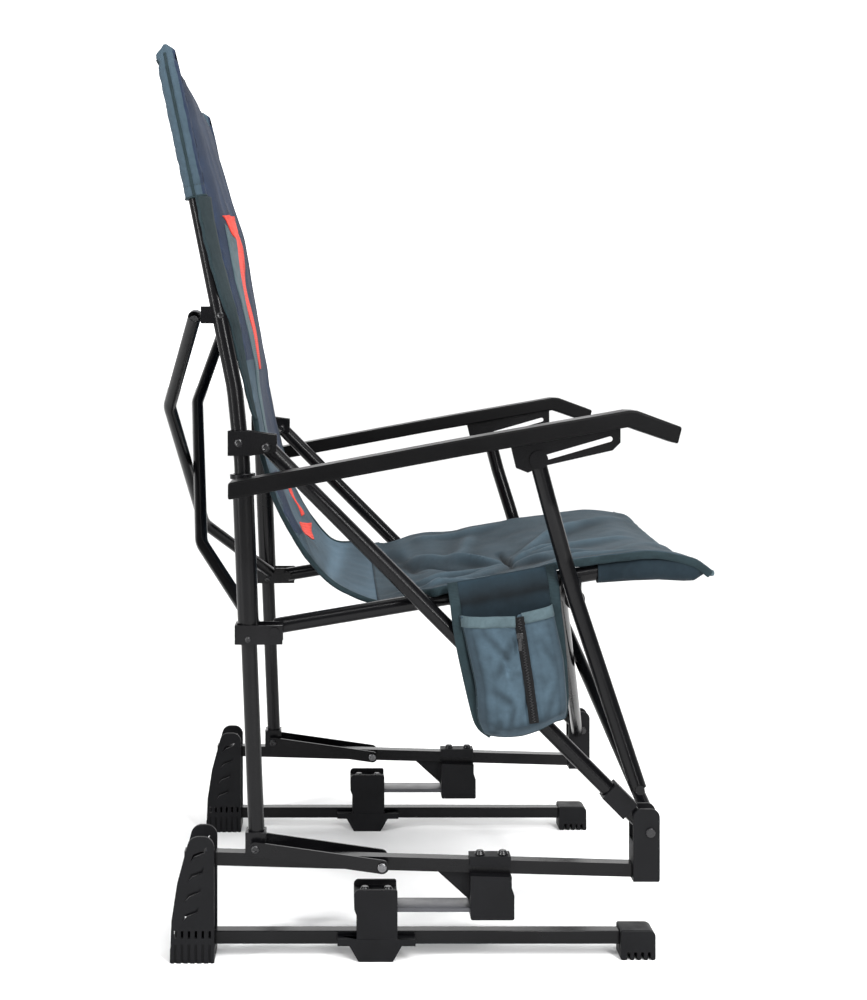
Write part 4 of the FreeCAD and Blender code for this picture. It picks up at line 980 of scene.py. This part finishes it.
class CHAIR_OT_back(bpy.types.Operator):
    """Back of the sling: slate borders, navy panel, sewn shapes, bound edges, flaps and post pockets"""
    bl_idname = "chair.back"
    bl_label = "Back"

    def execute(self, context):
        own = sizes()
        shades = colours()
        width = 2 * own.back_half
        beside = own.border + BESIDE
        rows = ((0, beside), (0, width - beside), (0, HEM), (0, width - HEM), (1, TOP_HEM))
        slate = woven("slate_cloth_back", shades.slate, rows)
        navy = woven("navy_cloth", shades.navy, rows)
        back = laid_cloth("back_cloth", (120, 170), lambda i, j: back_place(2 * i - 1, j),
                          (width, BACK.length), [slate, navy], thick=own.cloth, folds=3.0 * MM,
                          replaced=("backrest_sling",), change=self.dye)
        tape = grosgrain("deep_binding", shades.slate_deep)
        for side, sign in SIDES:
            spots = [back_place(sign, k / 160) for k in range(161)]
            strip(side + "_back_binding", spots, (own.binding, own.binding * 1.25), tape)
        top = [back_place(2 * k / 60 - 1, 0.0) for k in range(61)]
        strip("back_top_binding", top, (own.binding * 0.8, own.binding), tape)
        self.stripes(shades)
        self.pockets(slate, navy, tape)
        return {"FINISHED"}

    def dye(self, shape):
        """Gives the faces of the navy panel its colour."""
        own = sizes()
        seam = (own.back_half - own.border) / own.back_half
        for face in shape.faces:
            middle = face.calc_center_median()
            inside = abs(middle.y) < seam * back_half(middle.z) and middle.z < NAVY_TOP
            face.material_index = 1 if inside and self.is_navy(middle) else 0

    def is_navy(self, spot):
        """The navy panel: all of the upper back, the far part under it, and a tongue at the waist."""
        if spot.z > NAVY_WHOLE:
            return True
        if spot.z > NAVY_FAR:
            return spot.y > -0.035 - 0.25 * (NAVY_WHOLE - spot.z)
        return spot.z > NAVY_TONGUE and -0.190 < spot.y < -0.060 - 0.8 * (NAVY_FAR - spot.z)

    def stripes(self, shades):
        """A coral band that hooks over a pale one, and a coral line below with its tab."""
        coral = grosgrain("coral_tape", shades.coral)
        pale = grosgrain("pale_cloth", shades.slate_pale)
        for name, rows, material in (("coral_stripe", CORAL_BAND, coral), ("pale_stripe", PALE_BAND, pale),
                                     ("coral_line", CORAL_LINE, coral), ("coral_tab", CORAL_TAB, coral)):
            edges = [[(number, row[column]) for number, row in enumerate(rows)] for column in range(4)]

            def place(i, j, edges=edges, last=len(rows) - 1):
                left_height, left, right_height, right = (table(edge, j * last) for edge in edges)
                height = left_height + (right_height - left_height) * i
                across = left + (right - left) * i
                return back_place(across / back_half(height), back_share(height), SEWN_LIFT)

            spread = (0.06, abs(rows[0][0] - rows[-1][0]))
            laid_cloth(name, (16, 80), place, spread, [material], thick=SEWN_THICK)

    def pockets(self, cloth, front_cloth, tape):
        """The sleeves of cloth over the tops of the posts, pinched into a fin above them."""
        foot, top = (Vector((along, 0.0, up)) for along, up in POCKET_AXIS)
        rise = top - foot
        forward = Vector((rise.z, 0.0, -rise.x)).normalized()
        border_cloth = woven("border_cloth", colours().border)

        def face_front(shape):
            for face in shape.faces:
                middle = face.calc_center_median()
                axis = foot + rise * ((middle - foot).dot(rise) / rise.length_squared)
                face.material_index = 1 if (middle - axis).dot(forward) > POCKET_FRONT_FACE else 0

        for side, sign in SIDES:

            def reach(i, j, sign=sign):
                turn = 2 * math.pi * i
                wobble = 1 + 0.07 * ripple(5 * j, math.sin(turn), 3.0, sign)
                wobble += 0.04 * ripple(26 * j, i, 2.0, 4.0)
                across = math.sin(turn) * table(POCKET_ACROSS, j) * MM * wobble
                ahead = math.cos(turn)
                ahead *= table(POCKET_FRONT if ahead > 0 else POCKET_BACK, j) * MM * wobble
                return foot + rise * j + forward * ahead + Vector((0.0, sign * POST_ACROSS + across, 0.0))

            cloth_sleeve(side + "_post_pocket", (40, 90), reach, (0.085, rise.length), [cloth, front_cloth],
                         face_front)
            turn = 0.25 if sign > 0 else 0.75
            seam = [reach(turn + 0.012 * sign, 0.01 + 0.93 * k / 60) for k in range(61)]
            strip(side + "_pocket_piping", seam, PIPING, tape)
            self.edge_flap(side, sign, border_cloth, tape)
            hem = [reach(k / 40, 0.004) for k in range(40)]
            hem.append(hem[0].copy())
            strip(side + "_pocket_hem", hem, FINE_HEM, tape)

    def edge_flap(self, side, sign, cloth, tape):
        """The back's border where it comes round the front of the post under its pocket."""
        (top, _), (low, _) = FLAP_REAR[0], FLAP_REAR[-1]

        def place(i, j):
            height = top + (low - top) * j
            wave = 1.1 * MM * ripple(height, i, 60.0, 3.0) * (1 - i)
            rear = table(FLAP_REAR, height)
            along = rear + (table(FLAP_AHEAD, height) - rear) * i + wave
            across = table(FLAP_OUTWARD, height) - table(FLAP_INWARD, height) * i * i
            return Vector((along, sign * (across + 0.8 * MM * ripple(height, i, 45.0, 9.0)), height))

        laid_cloth(side + "_back_flap", (12, 110), place, FLAP_FLAT, [cloth], thick=FLAP_THICK)
        edge = [place(0.0, k / 110) for k in range(111)]
        strip(side + "_flap_binding", edge, PIPING, tape)


# sleeves on the seat rails' front ends: from where to where, half width, place across
SLEEVE_FROM, SLEEVE_TO, SLEEVE_HALF, SLEEVE_ACROSS = 197.0 * MM, 326.5 * MM, 12.4 * MM, 224.5 * MM


class CHAIR_OT_seat(bpy.types.Operator):
    """Seat of the sling: sagging cloth, bound edges, front hem and front sleeves"""
    bl_idname = "chair.seat"
    bl_label = "Seat"

    def execute(self, context):
        own = sizes()
        shades = colours()
        width = 2 * own.seat_half
        rows = ((0, HEM), (0, width - HEM), (1, SEAT.length - SEAT_HEM))
        # the seat's cloth is a darker copy of the slate, as painted shade
        slate = woven("slate_cloth_seat", shades.slate_seat, rows)
        seat = laid_cloth("seat_cloth", (130, 110), lambda i, j: seat_place(2 * i - 1, j),
                          (width, SEAT.length), [slate], thick=own.cloth, folds=3.5 * MM,
                          replaced=("seat_sling",), change=self.face_up)
        tape = grosgrain("deep_binding", shades.slate_deep)
        for side, sign in SIDES:
            spots = [seat_place(sign, k / 120) for k in range(121)]
            strip(side + "_seat_binding", spots, HEM_TAPE, tape, HEM_TAPE_DROP)
        front = [seat_place(2 * k / 60 - 1, 1.0) for k in range(61)]
        pale = grosgrain("pale_tape", shades.slate_pale)
        strip("seat_front_binding", front, FRONT_TAPE, pale, FRONT_TAPE_DROP)
        seam = [seat_place(0.5 - 0.58 * k / 30, 0.417 + 0.002 * k / 30, 0.3 * MM) for k in range(31)]
        strip("seat_tuft_seam", seam, TUFT_SEAM, tape)
        # the front sleeves take the darker panel slate as painted shade under the seat's overhang
        self.front_sleeves(woven("deep_cloth", shades.slate_panel_and_sleeve_shade))
        return {"FINISHED"}

    def face_up(self, shape):
        """Turns the seat's faces so that they all look up."""
        for face in shape.faces:
            if face.normal.z < 0:
                face.normal_flip()

    def front_sleeves(self, cloth):
        """The sleeves of cloth round the front ends of the seat rails."""
        for side, sign in SIDES:

            def place(i, j, sign=sign):
                turn = 2 * math.pi * i
                along = SLEEVE_FROM + (SLEEVE_TO - SLEEVE_FROM) * j
                low = table(SLEEVE_LOW, along)
                high = table(SLEEVE_HIGH, along)
                swell = 1 + 0.07 * ripple(8 * j, math.cos(turn), 2.0, sign + 3)
                swell += 0.05 * math.sin(22 * j + 3 * math.sin(turn))
                square = abs(math.cos(turn)) ** 0.8 * (1 if math.cos(turn) > 0 else -1)
                height = (low + high) / 2 + (high - low) / 2 * square
                across = math.sin(turn) * SLEEVE_HALF * swell * (1 - 0.55 * smooth_step(0.9, 1.0, j))
                return Vector((along, sign * SLEEVE_ACROSS + across, height))

            cloth_sleeve(side + "_front_sleeve", (36, 60), place, (0.08, 0.13), [cloth])


# flat sizes of the bag's panels, their thickness, and the width that the pocket's weave is mapped over
BAG_WIDE, BAG_TALL, POCKET_TALL, BAG_THICK = 125.0 * MM, 178.0 * MM, 150.0 * MM, 1.8 * MM
POCKET_MAP = 120.0 * MM
# places across of the back panel and of the pocket's edge, how far the pocket stands out, and how far it may
# stand out in the band (shares across) down which the slider runs
BAG_BACK_Y, BAG_POCKET_Y, BAG_PUFF = -266.0 * MM, -268.0 * MM, 30.0 * MM
SLIDER_ROOM, SLIDER_BAND = 27.2 * MM, (0.34, 0.44, 0.68, 0.78)
BAG_RIPPLES = ((3.0 * MM, 34.0, 1.0), (1.0 * MM, 80.0, 8.0))
# how far the panels' lower edges hang between their corners, and the pocket's upper edge dips before the zip
# and after it, which lies at a share across
LOW_EDGE_DROP, DIP_BEFORE, DIP_AFTER, ZIP_SHARE = 8.5 * MM, 7.5 * MM, 4.5 * MM, 0.61
BACK_CREASE, TUCK_IN = 1.6 * MM, 20.0 * MM
ZIP_TEETH = 75


class BagShape:
    """The bag's back panel and its puffed pocket, by shares across and down."""

    def __init__(self):
        self.sides = {"back": (Line(BAG_BACK_LEFT), Line(BAG_BACK_RIGHT)),
                      "front": (Line(BAG_FRONT_LEFT), Line(BAG_FRONT_RIGHT))}

    def flat(self, part, i, j):
        """A point of a panel in the side view."""
        left = self.sides[part][0].at(j)[0]
        right = self.sides[part][1].at(j)[0]
        drop = LOW_EDGE_DROP * smooth_step(0.80, 1.0, j) * math.sin(math.pi * min(i * 1.15, 1.0))
        if part == "front":
            before, after = DIP_BEFORE * i / ZIP_SHARE, DIP_AFTER * (1 - i) / (1 - ZIP_SHARE)
            drop += (before if i < ZIP_SHARE else after) * (1 - j) ** 4
        return left.lerp(right, i) - Vector((0.0, drop))

    def back(self, i, j, lift=0.0):
        spot = self.flat("back", i, j)
        crease = BACK_CREASE * ripple(spot.x, spot.y, 42.0, 6.0)
        across = BAG_BACK_Y + TUCK_IN * (1 - smooth_step(0.0, 0.14, j)) - lift
        return Vector((spot.x, across - crease, spot.y))

    def front(self, i, j, lift=0.0):
        spot = self.flat("front", i, j)
        stand = worn(spot.x, spot.y, BAG_RIPPLES) + ridges(i, j, BAG_FOLDS)
        stand *= math.sin(math.pi * min(max(i, 0.02), 0.98)) ** 0.5
        stand += BAG_PUFF * table(BAG_ACROSS, i) * table(BAG_DOWN, j)
        corner = math.exp(-((i - 0.12) / 0.08) ** 2) * math.sin(60 * j) * smooth_step(0.84, 0.97, j)
        stand += 3.0 * MM * corner
        start, whole, past, end = SLIDER_BAND
        band = smooth_step(start, whole, i) * smooth_step(end, past, i)
        stand -= 0.92 * band * max(stand - SLIDER_ROOM, 0.0)
        return Vector((spot.x, BAG_POCKET_Y - stand - lift, spot.y))

    def on_zip(self, part, lift):
        """A point of the pocket's front on the zip, from its top (0) to its foot (1)."""
        top, low = BAG_ZIP
        aim = Vector(top).lerp(Vector(low), part)
        i, j = 0.5, 0.5
        for _ in range(12):
            spot = self.flat("front", i, j)
            i = min(max(i + (aim.x - spot.x) / 0.105, 0.0), 1.0)
            j = min(max(j + (spot.y - aim.y) / 0.145, 0.0), 1.0)
        return self.front(i, j, lift)


class CHAIR_OT_bag(bpy.types.Operator):
    """Side bag: back panel, puffed pocket, top band, bindings and zip"""
    bl_idname = "chair.bag"
    bl_label = "Side bag"

    def execute(self, context):
        shades = colours()
        bag = BagShape()
        deep = woven("deep_cloth", shades.slate_panel_and_sleeve_shade)
        # the pocket's folds get lighter painted shade in their hollows than the other cloth
        cloth = woven("bag_cloth", shades.slate, ((1, 0.010),), hollow_shade=0.5)
        tape = grosgrain("deep_binding", shades.slate_deep)
        pale = grosgrain("pale_tape", shades.slate_pale)
        back = laid_cloth("bag_back_panel", (60, 76), bag.back, (BAG_WIDE, BAG_TALL), [deep], "bag",
                          BAG_THICK, 2.2 * MM, ("side_bag",))
        front = laid_cloth("bag_pocket", (60, 76), bag.front, (POCKET_MAP, POCKET_TALL), [cloth], "bag",
                           BAG_THICK, 2.2 * MM)
        for name, share in (("left", 0.045), ("right", 0.955)):
            spots = [bag.back(share, k / 60, 0.8 * MM) for k in range(61)]
            self.flat_tape("bag_%s_edge_tape" % name, spots, 6.0 * MM, tape)
        edge = [bag.front(0.008, k / 80) for k in range(81)]
        edge += [bag.front(0.008 + 0.984 * k / 60, 1.0) for k in range(1, 61)]
        edge += [bag.front(0.992, 1 - k / 80) for k in range(1, 81)]
        strip("bag_pocket_piping", edge, BAG_PIPING, tape, slot="bag")
        for name, first, last in (("left", 0.0, 0.572), ("right", 0.648, 1.0)):
            spots = [bag.front(first + (last - first) * k / 40, 0.042, 2.4 * MM) for k in range(41)]
            self.flat_tape("bag_%s_top_band" % name, spots, 6.6 * MM, pale)
        self.zip_strip(bag)
        return {"FINISHED"}

    def flat_tape(self, name, spots, half_wide, material, thickness=1.2 * MM):
        """A flat tape along a list of points in the plane of the side view."""
        last = len(spots) - 1

        def place(i, j):
            number = round(j * last)
            along = (spots[min(number + 1, last)] - spots[max(number - 1, 0)]).normalized()
            side = along.cross(Vector((0.0, -1.0, 0.0))).normalized()
            return spots[number] + side * ((2 * i - 1) * half_wide)

        length_of = sum((b - a).length for a, b in zip(spots, spots[1:]))
        laid_cloth(name, (4, last), place, (2 * half_wide, length_of), [material], "bag", thickness)

    def zip_strip(self, bag):
        """The zip's tape down the pocket with its two rows of teeth."""
        spots = [bag.on_zip(k / 60, 2.6 * MM) for k in range(61)]
        self.flat_tape("bag_zip_tape", spots, 5.6 * MM, grosgrain("zip_tape", colours().tape), 0.8 * MM)
        shape = bmesh.new()
        for number in range(ZIP_TEETH):
            middle = bag.on_zip(0.02 + 0.96 * number / (ZIP_TEETH - 1), 3.4 * MM)
            side = -1 if number % 2 else 1
            tooth = bmesh.ops.create_cube(shape, size=1.0)["verts"]
            bmesh.ops.scale(shape, vec=(2.2 * MM, 1.0 * MM, 0.9 * MM), verts=tooth)
            bmesh.ops.translate(shape, vec=middle + Vector((side * 0.7 * MM, 0.0, 0.0)), verts=tooth)
        piece_from("bag_zip_teeth", shape, [coat("black_steel")], "chair", "zip")


class CHAIR_OT_zip(bpy.types.Operator):
    """The slider and its pull, which run down the zip"""
    bl_idname = "chair.zip"
    bl_label = "Zip pull"

    def execute(self, context):
        low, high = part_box("zip_pull")
        middle = (low + high) / 2
        shape = bmesh.new()
        parts = (
            (Vector((0.0, -0.2 * MM, 5.0 * MM)), (7.4 * MM, 2.6 * MM, 6.5 * MM)),
            (Vector((0.0, -1.6 * MM, 6.5 * MM)), (2.4 * MM, 1.2 * MM, 3.2 * MM)),
            (Vector((0.0, -1.9 * MM, -4.5 * MM)), (4.0 * MM, 1.1 * MM, 15.0 * MM)),
        )
        for offset, extent in parts:
            verts = bmesh.ops.create_cube(shape, size=1.0)["verts"]
            bmesh.ops.scale(shape, vec=extent, verts=verts)
            bmesh.ops.translate(shape, vec=middle + offset, verts=verts)
        pull = piece_from("zip_slider", shape, [coat("black_steel")], "zip", "zip", ("zip_pull",))
        modifier(pull, "BEVEL", width=0.5 * MM, segments=2, limit_method="ANGLE",
                 angle_limit=math.radians(40))
        return {"FINISHED"}


STEPS = (CHAIR_OT_stage, CHAIR_OT_frame, CHAIR_OT_mouldings, CHAIR_OT_fasteners, CHAIR_OT_rivets,
         CHAIR_OT_springs, CHAIR_OT_armrests, CHAIR_OT_back, CHAIR_OT_seat, CHAIR_OT_bag, CHAIR_OT_zip)
GROUPS = (("chair_colours", ChairColours), ("chair_sizes", ChairSizes), ("chair_camera", PhotoCamera))


class CHAIR_PT_panel(bpy.types.Panel):
    """Lists the chair's pieces in the sidebar"""
    bl_idname = "CHAIR_PT_panel"
    bl_label = "Chair"
    bl_space_type = "VIEW_3D"
    bl_region_type = "UI"
    bl_category = "Chair"

    def draw(self, context):
        for step in STEPS:
            self.layout.operator(step.bl_idname)


def register():
    for name, group in GROUPS:
        bpy.utils.register_class(group)
        setattr(bpy.types.Scene, name, PointerProperty(type=group))
    for step in STEPS:
        bpy.utils.register_class(step)
    bpy.utils.register_class(CHAIR_PT_panel)


def unregister():
    bpy.utils.unregister_class(CHAIR_PT_panel)
    for step in reversed(STEPS):
        bpy.utils.unregister_class(step)
    for name, group in reversed(GROUPS):
        delattr(bpy.types.Scene, name)
        bpy.utils.unregister_class(group)


def main():
    register()
    for step in STEPS:
        area, name = step.bl_idname.split(".")
        getattr(getattr(bpy.ops, area), name)()


if __name__ == "__main__":
    main()
